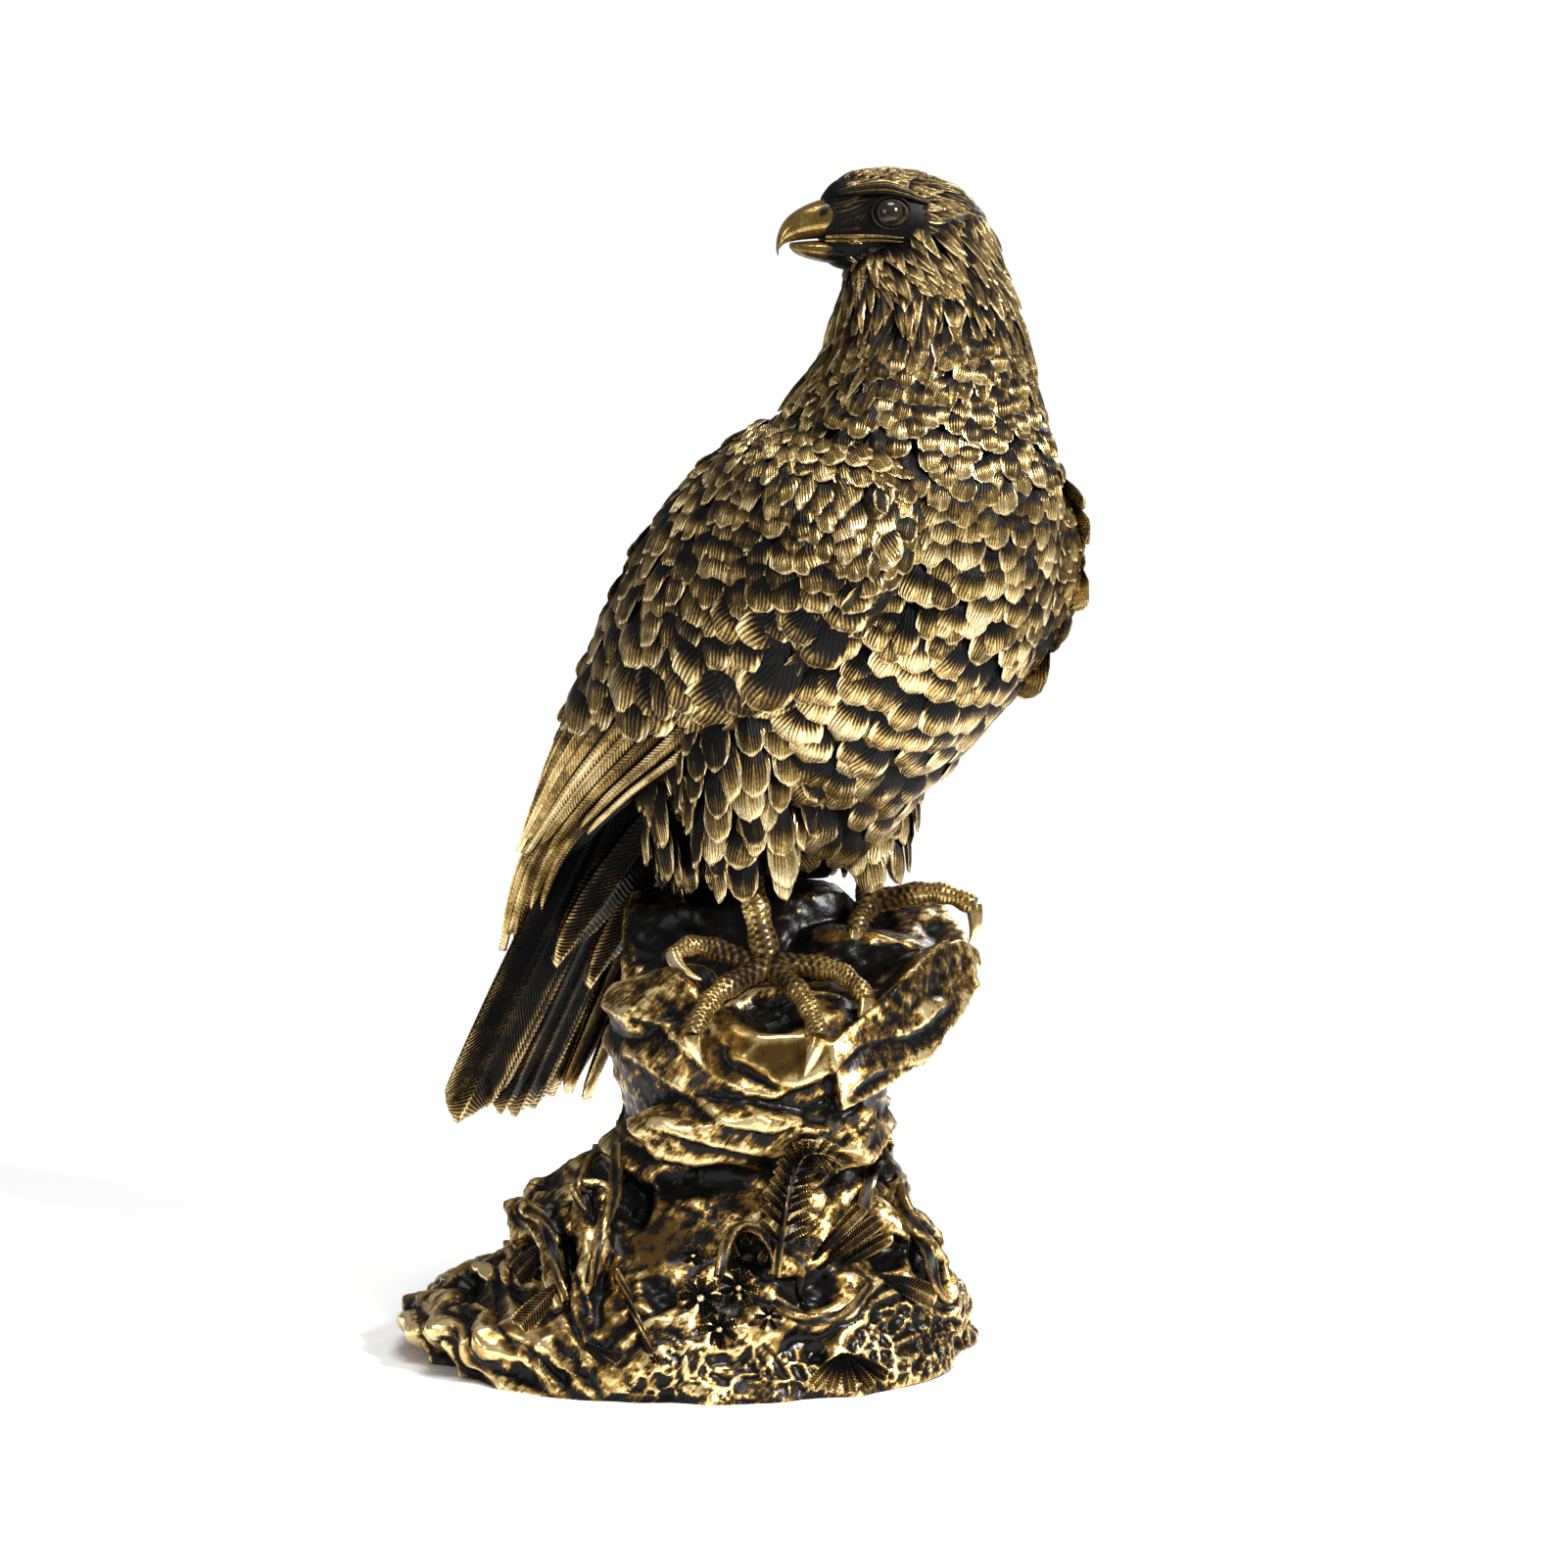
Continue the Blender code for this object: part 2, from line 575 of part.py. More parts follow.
def main():
    """Builds the carving, casts it as one solid and cuts its underside flat."""
    for old in list(bpy.data.objects):
        bpy.data.objects.remove(old)
    chance = random.Random(SEED)
    clay = Clay()
    add_torso(clay)
    add_breast(clay, chance)
    add_hackles(clay, chance)
    for side in (-1, 1):
        add_wing(clay, side, chance)
    add_tail(clay)
    add_legs(clay, chance)
    add_head(clay)
    add_rock(clay)
    add_growth(clay)
    statue = bpy.data.objects.new("eagle_statue", clay.cast("eagle_statue"))
    collection = bpy.data.collections.new("resin_eagle_statue")
    bpy.context.scene.collection.children.link(collection)
    collection.objects.link(statue)

    cast = statue.modifiers.new("cast", "REMESH")
    cast.mode = "VOXEL"
    cast.voxel_size = VOXEL
    statue.data = evaluated_mesh(statue)
    statue.modifiers.clear()
    biggest_island(statue.data)
    thin = statue.modifiers.new("thin", "DECIMATE")
    thin.ratio = TRIANGLES / (2 * len(statue.data.polygons))
    statue.data = evaluated_mesh(statue)
    statue.modifiers.clear()
    flat_underside(statue.data)
    biggest_island(statue.data)
    statue.data.name = "eagle_statue"
    statue.data.shade_smooth()
    statue.data.set_sharp_from_angle(angle=math.radians(40))
    statue.data.materials.clear()
    statue.data.materials.append(antique_gold())


main()
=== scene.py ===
"""Looks of a cast resin eagle on its rock: black resin with antique gold rubbed over the carving.

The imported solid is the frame. Shapes are set out in units, of which the whole statue is UNITS_TALL high.
+Z is up, the front faces -Y and the origin is the middle of the rock's underside.
"""

from __future__ import annotations

import json
import logging
import math
import random
from abc import ABC, abstractmethod
from collections.abc import Callable, Iterable, Sequence
from dataclasses import dataclass, field
from enum import Enum

import bmesh
import bpy
import numpy as np
from mathutils import Matrix, Vector, noise
from mathutils.bvhtree import BVHTree

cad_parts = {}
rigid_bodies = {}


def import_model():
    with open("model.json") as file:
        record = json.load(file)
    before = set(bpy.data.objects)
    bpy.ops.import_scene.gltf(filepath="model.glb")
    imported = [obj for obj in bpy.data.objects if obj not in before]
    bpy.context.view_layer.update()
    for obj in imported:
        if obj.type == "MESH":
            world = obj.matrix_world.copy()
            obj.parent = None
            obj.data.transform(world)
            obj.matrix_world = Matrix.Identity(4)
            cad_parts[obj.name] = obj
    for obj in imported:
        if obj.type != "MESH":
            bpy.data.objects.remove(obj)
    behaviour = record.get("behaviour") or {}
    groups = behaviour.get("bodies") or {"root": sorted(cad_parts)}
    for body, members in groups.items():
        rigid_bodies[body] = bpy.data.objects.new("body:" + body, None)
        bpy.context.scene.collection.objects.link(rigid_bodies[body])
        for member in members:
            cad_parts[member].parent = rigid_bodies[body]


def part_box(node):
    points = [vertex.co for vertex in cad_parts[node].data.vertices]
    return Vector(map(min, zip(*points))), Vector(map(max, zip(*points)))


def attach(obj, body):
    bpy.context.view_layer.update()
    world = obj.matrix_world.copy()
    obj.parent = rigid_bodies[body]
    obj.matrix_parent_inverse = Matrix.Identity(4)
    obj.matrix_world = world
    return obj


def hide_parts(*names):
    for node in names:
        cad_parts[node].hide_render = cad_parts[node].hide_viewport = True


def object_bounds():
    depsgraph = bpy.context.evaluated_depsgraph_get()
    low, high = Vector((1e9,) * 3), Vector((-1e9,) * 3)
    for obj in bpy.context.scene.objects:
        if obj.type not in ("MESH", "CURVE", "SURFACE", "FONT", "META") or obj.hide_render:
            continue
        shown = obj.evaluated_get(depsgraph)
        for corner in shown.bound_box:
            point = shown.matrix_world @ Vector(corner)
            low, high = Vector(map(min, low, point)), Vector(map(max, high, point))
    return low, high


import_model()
CAD_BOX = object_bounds()
STATUE = "eagle_statue"
UNITS_TALL = 362.0
UNIT = (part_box(STATUE)[1][2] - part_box(STATUE)[0][2]) / UNITS_TALL
SEED = 7
PLAIN_VANE = (0.7, 0.5, 1.0)

Array = np.ndarray
Rows = Sequence[Sequence[float]]
Point = tuple[float, float, float]
log = logging.getLogger("eagle")


class Profile:
    """Sizes tabled against a first column and joined by a smooth curve (Catmull-Rom)."""

    def __init__(self, rows: Rows) -> None:
        """Takes the table.

        Args:
            rows: rows of numbers, in rising order of their first one.
        """
        self.rows = np.asarray(rows, dtype=float)

    def at(self, x: Array | float) -> Array:
        """The other columns at one or more places.

        Args:
            x: values of the first column.

        Returns:
            An array with one more axis than x, for the columns.
        """
        x = np.asarray(x, dtype=float)
        keys, values = self.rows[:, 0], self.rows[:, 1:]
        last = len(keys) - 1
        i = np.clip(np.searchsorted(keys, x, side="right") - 1, 0, last - 1)
        t = np.clip((x - keys[i]) / (keys[i + 1] - keys[i]), 0, 1)[..., None]
        a, b, c, d = (values[np.clip(i + k, 0, last)] for k in (-1, 0, 1, 2))
        return b + 0.5 * t * (c - a + t * (2 * a - 5 * b + 4 * c - d + t * (3 * (b - c) + d - a)))

    def one(self, x: float) -> float:
        """The second column at one place."""
        return float(self.at(x)[0])


def triples(x: Array | float, y: Array | float, z: Array | float) -> Array:
    """Points from three arrays of coordinates."""
    return np.stack(np.broadcast_arrays(x, y, z), axis=-1).astype(float)


def unit_of(vectors: Array) -> Array:
    """The same vectors at length one."""
    return vectors / np.maximum(np.linalg.norm(vectors, axis=-1, keepdims=True), 1e-9)


def matched(a: Array | float, b: Array | float) -> tuple[Array, Array]:
    """Both parameters as arrays of one shape."""
    return np.broadcast_arrays(np.asarray(a, float), np.asarray(b, float))


def smooth(low: float, high: float, x: Array) -> Array:
    """A soft step from 0 at low to 1 at high."""
    t = np.clip((x - low) / (high - low), 0, 1)
    return t * t * (3 - 2 * t)


@dataclass(frozen=True)
class Stance:
    """Where the bird stands on the rock, and which way body and head face.

    Lengths are in units and angles in radians.
    """

    perch: Point = (58.0, 0.0, 114.0)
    heading: float = math.radians(48)
    head_turn: float = math.radians(126)
    head_at: Point = (4.0, -11.0, 235.0)

    def foot(self, x: Array | float, y: Array | float, z: Array | float) -> Array:
        """Point a number of units right, back and up from where the bird stands."""
        return triples(x, y, z) + np.array(self.perch)

    def bird(self, forward: Array | float, left: Array | float, up: Array | float) -> Array:
        """Point in the bird's own frame."""
        s, c = math.sin(self.heading), math.cos(self.heading)
        forward, left = np.asarray(forward, float), np.asarray(left, float)
        return self.foot(forward * s + left * c, left * s - forward * c, up)

    def way(self, forward: float, left: float, up: float) -> Array:
        """Direction in the bird's own frame."""
        return self.bird(forward, left, up) - self.bird(0, 0, 0)

    def head(self, along: Array | float, out: Array | float, up: Array | float) -> Array:
        """Point in the head's frame: along its axis, out to its left, and up from the eyes' level."""
        turn = self.heading - self.head_turn
        s, c = math.sin(turn), math.cos(turn)
        along, out = np.asarray(along, float), np.asarray(out, float)
        x, y, z = self.head_at
        return self.foot(x + along * s + out * c, y + out * s - along * c, np.asarray(up, float) + z)

    def in_head(self, points: Array) -> Array:
        """The head's own coordinates of points: along its axis, out to its left, and up."""
        turn = self.heading - self.head_turn
        s, c = math.sin(turn), math.cos(turn)
        x, y, z = np.moveaxis(points - np.array(self.perch) - np.array(self.head_at), -1, 0)
        return triples(x * s - y * c, x * c + y * s, z)


STANCE = Stance()


class Skin(ABC):
    """A carved surface laid out by two parameters.

    Its slopes are measured over steps of them, and flip is -1 where their order turns its outside in.
    """

    steps: tuple[float, float] = (0.5, 0.01)
    flip: float = 1.0

    @abstractmethod
    def at(self, a: Array | float, b: Array | float) -> Array:
        """Points of the surface at the two parameters."""

    def slopes(self, a: Array | float, b: Array | float) -> tuple[Array, Array]:
        """How far the surface goes over one step each way, for each parameter."""
        return (self.at(np.add(a, self.steps[0]), b) - self.at(np.subtract(a, self.steps[0]), b),
                self.at(a, np.add(b, self.steps[1])) - self.at(a, np.subtract(b, self.steps[1])))

    def out(self, a: Array | float, b: Array | float) -> Array:
        """Unit vectors that stand off the surface at the two parameters."""
        return unit_of(np.cross(*self.slopes(a, b))) * self.flip

    def stretch(self, a: Array | float, b: Array | float) -> tuple[Array, Array]:
        """How many units the surface covers for one of each parameter."""
        pairs = zip(self.slopes(a, b), self.steps)
        along, across = (np.linalg.norm(slope, axis=-1) / (2 * step) for slope, step in pairs)
        return np.maximum(along, 1e-3), np.maximum(across, 1e-3)


class BodySkin(Skin):
    """Torso and neck: height, and angle round from the front towards the bird's left."""

    steps = (0.8, 0.02)
    flip = -1.0
    slices = Profile((
        (30, -34, 0, 12, 9), (38, -40, 0, 28, 19), (50, -42, 0, 41, 30), (62, -39, 0, 51, 37),
        (80, -30, 0, 62, 43), (105, -16, 0, 65, 46), (137, -3, 0, 60, 45), (157, 7, 0, 50, 42),
        (175, 13, 0, 37, 35), (190, 18.4, 0.4, 28.4, 28.4), (204, 20.6, -1.0, 23.9, 23.9),
        (214, 17.4, -0.5, 23.3, 22.8), (221, 13.9, 1.4, 19.6, 19.6), (228, 12.6, 4.2, 17.2, 17.2),
        (234, 10.2, 5.1, 12, 12), (238, 10.2, 5.1, 5, 5),
    ))

    def __init__(self, inset: float = 0.0) -> None:
        """Takes how far below the true surface this one lies."""
        self.inset = inset

    def at(self, a: Array | float, b: Array | float) -> Array:
        """Points at heights a and angles b."""
        forward, left, half_length, half_width = np.moveaxis(self.slices.at(a), -1, 0)
        length, width = half_length - self.inset, half_width - self.inset
        return STANCE.bird(forward + length * np.cos(b), left + width * np.sin(b), a)

    def girth(self, height: float) -> float:
        """The way round the bird at a height."""
        _, _, half_length, half_width = self.slices.at(height)
        return 2 * math.pi * math.sqrt((half_length**2 + half_width**2) / 2)


class WingSkin(Skin):
    """A folded wing's outer face: from shoulder (0) to tip (1), and from front edge (0) to back edge (1).

    Each band gives the front edge's place forward and up, the back edge's, and how far out the face stands.
    """

    steps = (0.008, 0.02)
    crest = 0.32
    arc = 0.78
    right = (
        (16, 167, -29, 172, 34), (38, 156, -38, 164, 47), (43, 135, -60, 147, 55), (38, 120, -80, 122, 58),
        (11, 103, -96, 95, 55), (-21, 80, -110, 73, 50), (-63, 60, -125, 43, 44), (-99, 38, -134, 20, 38),
        (-120, 12, -144, -12, 32),
    )
    left = (
        (16, 167, -29, 172, 34), (32.5, 156, -38, 164, 44.5), (39.5, 137, -60, 147, 51),
        (36, 118, -80, 122, 52.5), (21, 94, -96, 95, 51), (-2, 74, -110, 73, 47), (-52, 58, -125, 43, 44),
        (-99, 38, -134, 20, 38), (-120, 12, -144, -12, 32),
    )

    def __init__(self, side: int, inset: float = 0.0) -> None:
        """Takes the side, 1 for the left and -1 for the right, and how far below the face this one lies."""
        self.side = side
        self.inset = inset
        rows = self.left if side > 0 else self.right
        self.bands = Profile([(i / (len(rows) - 1), *row) for i, row in enumerate(rows)])
        self.flip = float(side)

    def at(self, a: Array | float, b: Array | float) -> Array:
        """Points at bands a and shares b of the way across."""
        a, b = matched(a, b)
        front_f, front_u, back_f, back_u, reach = np.moveaxis(self.bands.at(a), -1, 0)
        bulge = np.sqrt(np.maximum(0.02, 1 - ((b - self.crest) / self.arc) ** 2))
        forward = front_f + (back_f - front_f) * b
        up = front_u + (back_u - front_u) * b
        return STANCE.bird(forward, self.side * (reach * bulge - self.inset), up)

    @staticmethod
    def thickness(band: Array | float) -> Array | float:
        """How thick the folded wing is at a band."""
        return 10.5 - 5.5 * band


class WingEdge(Skin):
    """A folded wing's thick front edge: from shoulder (0) to tip (1), and from outside (0) to inside (1)."""

    steps = (0.008, 0.05)

    def __init__(self, side: int) -> None:
        """Takes the side, 1 for the bird's left and -1 for its right."""
        self.wing = WingSkin(side)
        self.inward = STANCE.way(1.0, -9.0 * side, 0)
        self.flip = float(-side)

    def at(self, a: Array | float, b: Array | float) -> Array:
        """Points at bands a and shares b of the way in."""
        a, b = matched(a, b)
        return self.wing.at(a, np.zeros_like(a)) + self.inward * b[..., None]


class WingBack(Skin):
    """A folded wing's back edge: from shoulder (0) to tip (1), and from outside (0) round it.

    At 1 the edge's inside is reached, and from there to 2 it runs forward along the wing's inner face.
    """

    steps = (0.008, 0.05)
    inner_reach = 0.45

    def __init__(self, side: int) -> None:
        """Takes the side, 1 for the bird's left and -1 for its right."""
        self.wing = WingSkin(side)
        self.inward = STANCE.way(0, -side, 0)
        self.flip = float(side)

    def at(self, a: Array | float, b: Array | float) -> Array:
        """Points at bands a and shares b of the way round the edge."""
        a, b = matched(a, b)
        inside = np.clip(b, 0, 1) * self.wing.thickness(a)
        across = 1 - self.inner_reach * np.clip(b - 1, 0, 1)
        return self.wing.at(a, across) + self.inward * inside[..., None]


class HeadSkin(Skin):
    """The skull: distance along the head's axis, and angle round it from its top towards its left."""

    steps = (0.5, 0.03)
    stations = Profile((
        (-27, 5, -2, -10), (-22, 10.5, 4.4, -16), (-14, 13, 9.2, -19), (-4, 13.8, 11.6, -19),
        (6, 13.0, 11.9, -17.5), (14, 10.5, 10.6, -18.0), (19.5, 7.6, 8.0, -16.6), (22.5, 5.6, 4.4, -13),
    ))

    def __init__(self, inset: float = 0.0) -> None:
        """Takes how far below the true surface this one lies."""
        self.inset = inset

    def at(self, a: Array | float, b: Array | float) -> Array:
        """Points at distances a and angles b."""
        half_width, top, bottom = np.moveaxis(self.stations.at(a), -1, 0)
        middle, half = (top + bottom) / 2, (top - bottom) / 2
        out = (half_width - self.inset) * np.sin(b)
        return STANCE.head(a, out, middle + (half - self.inset) * np.cos(b))


def bend(points: Array, count: int) -> Array:
    """Evenly counted places on the smooth curve that control points pull (clamped quadratic B-spline).

    Args:
        points: control points, or rows of any numbers.
        count: how many places to return.

    Returns:
        The places, from the first control point to the last.
    """
    points = np.asarray(points, dtype=float)
    if len(points) == 2:
        points = np.array([points[0], points.mean(axis=0), points[1]])
    arcs = len(points) - 2
    t = np.linspace(0, arcs, count)
    k = np.minimum(t.astype(int), arcs - 1)
    t = (t - k)[:, None]
    joints = (points[:-1] + points[1:]) / 2
    joints[0], joints[-1] = points[0], points[-1]
    return (1 - t) ** 2 * joints[k] + 2 * t * (1 - t) * points[k + 1] + t**2 * joints[k + 1]


class Carving:
    """Closed shapes gathered in units, then made into one mesh object in metres.

    Each vertex carries the vane attribute: share of the way from root to tip, share across, and 1 on a ridge
    or 0 in a groove. It also carries a tone, from 0 for dark to 1 for bright.
    """

    def __init__(self) -> None:
        """Starts empty."""
        self.points: list[Array] = []
        self.vanes: list[Array] = []
        self.tones: list[Array] = []
        self.faces: list[list[int]] = []
        self.count = 0

    def add(self, points: Array, faces: Iterable[Sequence[int]], vane: Array | None = None,
            tone: Array | float = 0.5) -> None:
        """Takes over one closed shape.

        Args:
            points: its vertices in units.
            faces: its faces as indices into those.
            vane: three numbers for each vertex, or None for plain middling ones.
            tone: a tone for the shape or for each vertex.
        """
        first = self.count
        self.points.append(points)
        self.faces.extend([first + int(k) for k in face] for face in faces)
        self.vanes.append(np.tile(PLAIN_VANE, (len(points), 1)) if vane is None else vane)
        self.tones.append(np.broadcast_to(np.asarray(tone, float), (len(points),)))
        self.count += len(points)

    def loft(self, rings: Array, vane: Array | None = None, tone: Array | float = 0.5) -> None:
        """A closed skin through rings, an array of rings by points by three, with a face at each end."""
        rows, count = rings.shape[:2]
        faces = [list(range(count))[::-1], [(rows - 1) * count + k for k in range(count)]]
        for i in range(rows - 1):
            for k in range(count):
                a, b = i * count + k, i * count + (k + 1) % count
                faces.append([a, b, b + count, a + count])
        self.add(rings.reshape(-1, 3), faces, vane, tone)

    def tube(self, path: Array, radii: Array, sides: int = 10, flat: float = 1.0,
             vane: Array | None = None, tone: Array | float = 0.5) -> None:
        """A closed round limb along a path.

        Args:
            path: places along it.
            radii: one radius for each place, or one for each place and side.
            sides: points round it.
            flat: height of the section as a share of its width.
            vane: as in add, or None for root to tip along it.
            tone: as in add.
        """
        along = unit_of(np.gradient(path, axis=0))
        across = np.cross(along[0], (0.0, 0.0, 1.0))
        if np.linalg.norm(across) < 0.1:
            across = np.cross(along[0], (1.0, 0.0, 0.0))
        angles = np.linspace(0, 2 * math.pi, sides, endpoint=False)
        radii = np.asarray(radii, float)
        radii = radii[:, None] if radii.ndim == 1 else radii
        rings = np.empty((len(path), sides, 3))
        for i, way in enumerate(along):
            across = unit_of(across - way * np.dot(across, way))
            other = np.cross(way, across)
            ring = np.cos(angles)[:, None] * across + flat * np.sin(angles)[:, None] * other
            rings[i] = path[i] + ring * (radii[i][:, None] if radii.shape[1] > 1 else radii[i])
        if vane is None:
            share = np.linspace(0, 1, len(path))
            vane = triples(np.repeat(share, sides), 0.5, 1.0)
        self.loft(rings, vane, tone)

    def make(self, name: str, sharp: float = 55.0) -> bpy.types.Object:
        """The mesh object, linked to the scene.

        Args:
            name: its name.
            sharp: degrees above which an edge stays crisp.

        Returns:
            The object, at the origin, in metres.
        """
        mesh = bpy.data.meshes.new(name)
        mesh.from_pydata((np.concatenate(self.points) * UNIT).tolist(), [], self.faces)
        store(mesh, "vane", np.concatenate(self.vanes))
        store(mesh, "tone", np.concatenate(self.tones))
        return link_mesh(name, mesh, sharp)


def store(mesh: bpy.types.Mesh, name: str, values: Array) -> None:
    """Stores a number or a vector for each vertex as an attribute."""
    kind, key = ("FLOAT", "value") if values.ndim == 1 else ("FLOAT_VECTOR", "vector")
    mesh.attributes.new(name, kind, "POINT").data.foreach_set(key, values.ravel())


def link_mesh(name: str, mesh: bpy.types.Mesh, sharp: float) -> bpy.types.Object:
    """Smooths a mesh between crisp edges, faces it outwards and links its object."""
    bm = bmesh.new()
    bm.from_mesh(mesh)
    bmesh.ops.recalc_face_normals(bm, faces=bm.faces)
    bm.to_mesh(mesh)
    bm.free()
    mesh.shade_smooth()
    mesh.set_sharp_from_angle(angle=math.radians(sharp))
    obj = bpy.data.objects.new(name, mesh)
    bpy.context.scene.collection.objects.link(obj)
    return obj


def plain_mesh(obj: bpy.types.Object) -> bpy.types.Mesh:
    """The object's evaluated mesh as a plain one, with its attributes."""
    bpy.context.view_layer.update()
    graph = bpy.context.evaluated_depsgraph_get()
    return bpy.data.meshes.new_from_object(
        obj.evaluated_get(graph), preserve_all_data_layers=True, depsgraph=graph)


def finish_piece(obj: bpy.types.Object, material: bpy.types.Material) -> None:
    """Trims a piece to the casting's bounds, dresses it, lets it ride with the casting and reports it."""
    flat = np.empty(len(obj.data.vertices) * 3)
    obj.data.vertices.foreach_get("co", flat)
    trimmed = np.clip(flat.reshape(-1, 3), *(np.array(corner) for corner in CAD_BOX))
    obj.data.vertices.foreach_set("co", trimmed.ravel())
    obj.data.materials.clear()
    obj.data.materials.append(material)
    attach(obj, "root")
    log.info("%s: %d faces", obj.name, len(obj.data.polygons))


class FeatherCut(Enum):
    """Outlines of a feather: share of its full width at each share of its length."""

    ROUND = ((0, 0.4), (0.3, 0.84), (0.56, 1.0), (0.72, 1.0), (0.85, 0.91), (0.95, 0.66), (1.0, 0.30))
    LONG = ((0, 0.3), (0.2, 0.60), (0.5, 0.90), (0.75, 1.0), (0.88, 0.88), (0.96, 0.60), (1.0, 0.26))
    LANCE = ((0, 0.4), (0.25, 0.85), (0.5, 1.0), (0.75, 0.72), (0.9, 0.38), (1.0, 0.08))
    STRIP = ((0, 1.0), (0.2, 0.92), (0.5, 0.72), (0.8, 0.54), (0.92, 0.46), (0.97, 0.32), (1.0, 0.12))
    QUILL = ((0, 0.6), (0.15, 0.85), (0.4, 1.0), (0.8, 0.97), (0.92, 0.72), (0.97, 0.46), (1.0, 0.15))


def plate_faces(rows: int, columns: int) -> list[list[int]]:
    """Faces of a closed crowned plate on a grid of points: its top, its flat underside and both ends."""
    wide = columns + 1
    faces = []
    for i in range(rows):
        for j in range(columns):
            a = i * wide + j
            faces.append([a, a + 1, a + 1 + wide, a + wide])
        faces.append([i * wide, (i + 1) * wide, (i + 1) * wide + columns, i * wide + columns])
    faces.append(list(range(wide))[::-1])
    faces.append(list(range(rows * wide, (rows + 1) * wide)))
    return faces


@dataclass
class SmallFeather:
    """The unit feather that a tract repeats, with its root at the origin and its tip along +X.

    Length, width and lift are one. crown is how far the vane arches, and flute how deep its grooves are.
    """

    cut: FeatherCut
    rows: int = 6
    columns: int = 8
    crown: float = 0.75
    flute: float = 0.16

    def make(self) -> bpy.types.Object:
        """The feather as a closed fluted plate, out of the render."""
        u = 1 - (1 - np.linspace(0, 1, self.rows + 1)) ** 1.7
        v = np.linspace(-1, 1, self.columns + 1)
        u, v = (grid.ravel() for grid in np.meshgrid(u, v, indexing="ij"))
        width = Profile(self.cut.value).at(u)[:, 0]
        ridge = np.where(np.abs(v) < 0.1, 0.8, np.where(np.abs(v) > 0.8, 0.9, 0.4))
        x = u - 0.04 * v**2
        rise = -0.5 + 2.7 * u - 1.6 * u**2
        dome = np.sin(math.pi * (0.10 + 0.74 * u))
        z = rise + self.crown * (1 - v**2) * dome + self.flute * (ridge - 0.6) * (0.3 + u)
        shape = Carving()
        points = triples(x, 0.5 * v * width, z)
        shape.add(points / UNIT, plate_faces(self.rows, self.columns), triples(u, 0.5 + 0.5 * v, ridge))
        feather = shape.make("unit_feather", 60)
        feather.data.attributes.remove(feather.data.attributes["tone"])
        feather.hide_render = True
        return feather


class Graph:
    """A node tree under construction."""

    def __init__(self, tree: bpy.types.NodeTree) -> None:
        """Takes the tree."""
        self.tree = tree

    def node(self, kind: str, settings: dict | None = None, inputs: dict | None = None) -> bpy.types.Node:
        """One node.

        Args:
            kind: its type.
            settings: its properties, set first.
            inputs: values or links of its sockets, by name or index.

        Returns:
            The node.
        """
        node = self.tree.nodes.new(kind)
        for key, value in (settings or {}).items():
            setattr(node, key, value)
        for key, value in (inputs or {}).items():
            self.feed(node, key, value)
        return node

    def feed(self, node: bpy.types.Node, key: str | int, value: object) -> None:
        """Sets or links one socket."""
        value = value.socket if isinstance(value, Wire) else value
        if isinstance(value, bpy.types.NodeSocket):
            self.tree.links.new(value, node.inputs[key])
        else:
            node.inputs[key].default_value = value


class Tree(Graph):
    """A geometry node tree under construction."""

    def __init__(self, name: str, inputs: dict[str, str]) -> None:
        """Makes the tree with its named inputs.

        Args:
            name: the tree's name.
            inputs: socket type for each input's name.
        """
        super().__init__(bpy.data.node_groups.new(name, "GeometryNodeTree"))
        self.ids = {}
        for label, kind in inputs.items():
            socket = self.tree.interface.new_socket(label, in_out="INPUT", socket_type=kind)
            self.ids[label] = socket.identifier
        self.tree.interface.new_socket("Geometry", in_out="OUTPUT", socket_type="NodeSocketGeometry")
        self.start = self.tree.nodes.new("NodeGroupInput")
        self.end = self.tree.nodes.new("NodeGroupOutput")

    def apply(self, obj: bpy.types.Object, values: dict[str, object]) -> None:
        """Runs the tree on an object with these inputs and leaves a plain mesh."""
        modifier = obj.modifiers.new("grow", "NODES")
        modifier.node_group = self.tree
        for label, value in values.items():
            modifier[self.ids[label]] = value
        mesh = plain_mesh(obj)
        obj.modifiers.clear()
        obj.data = mesh


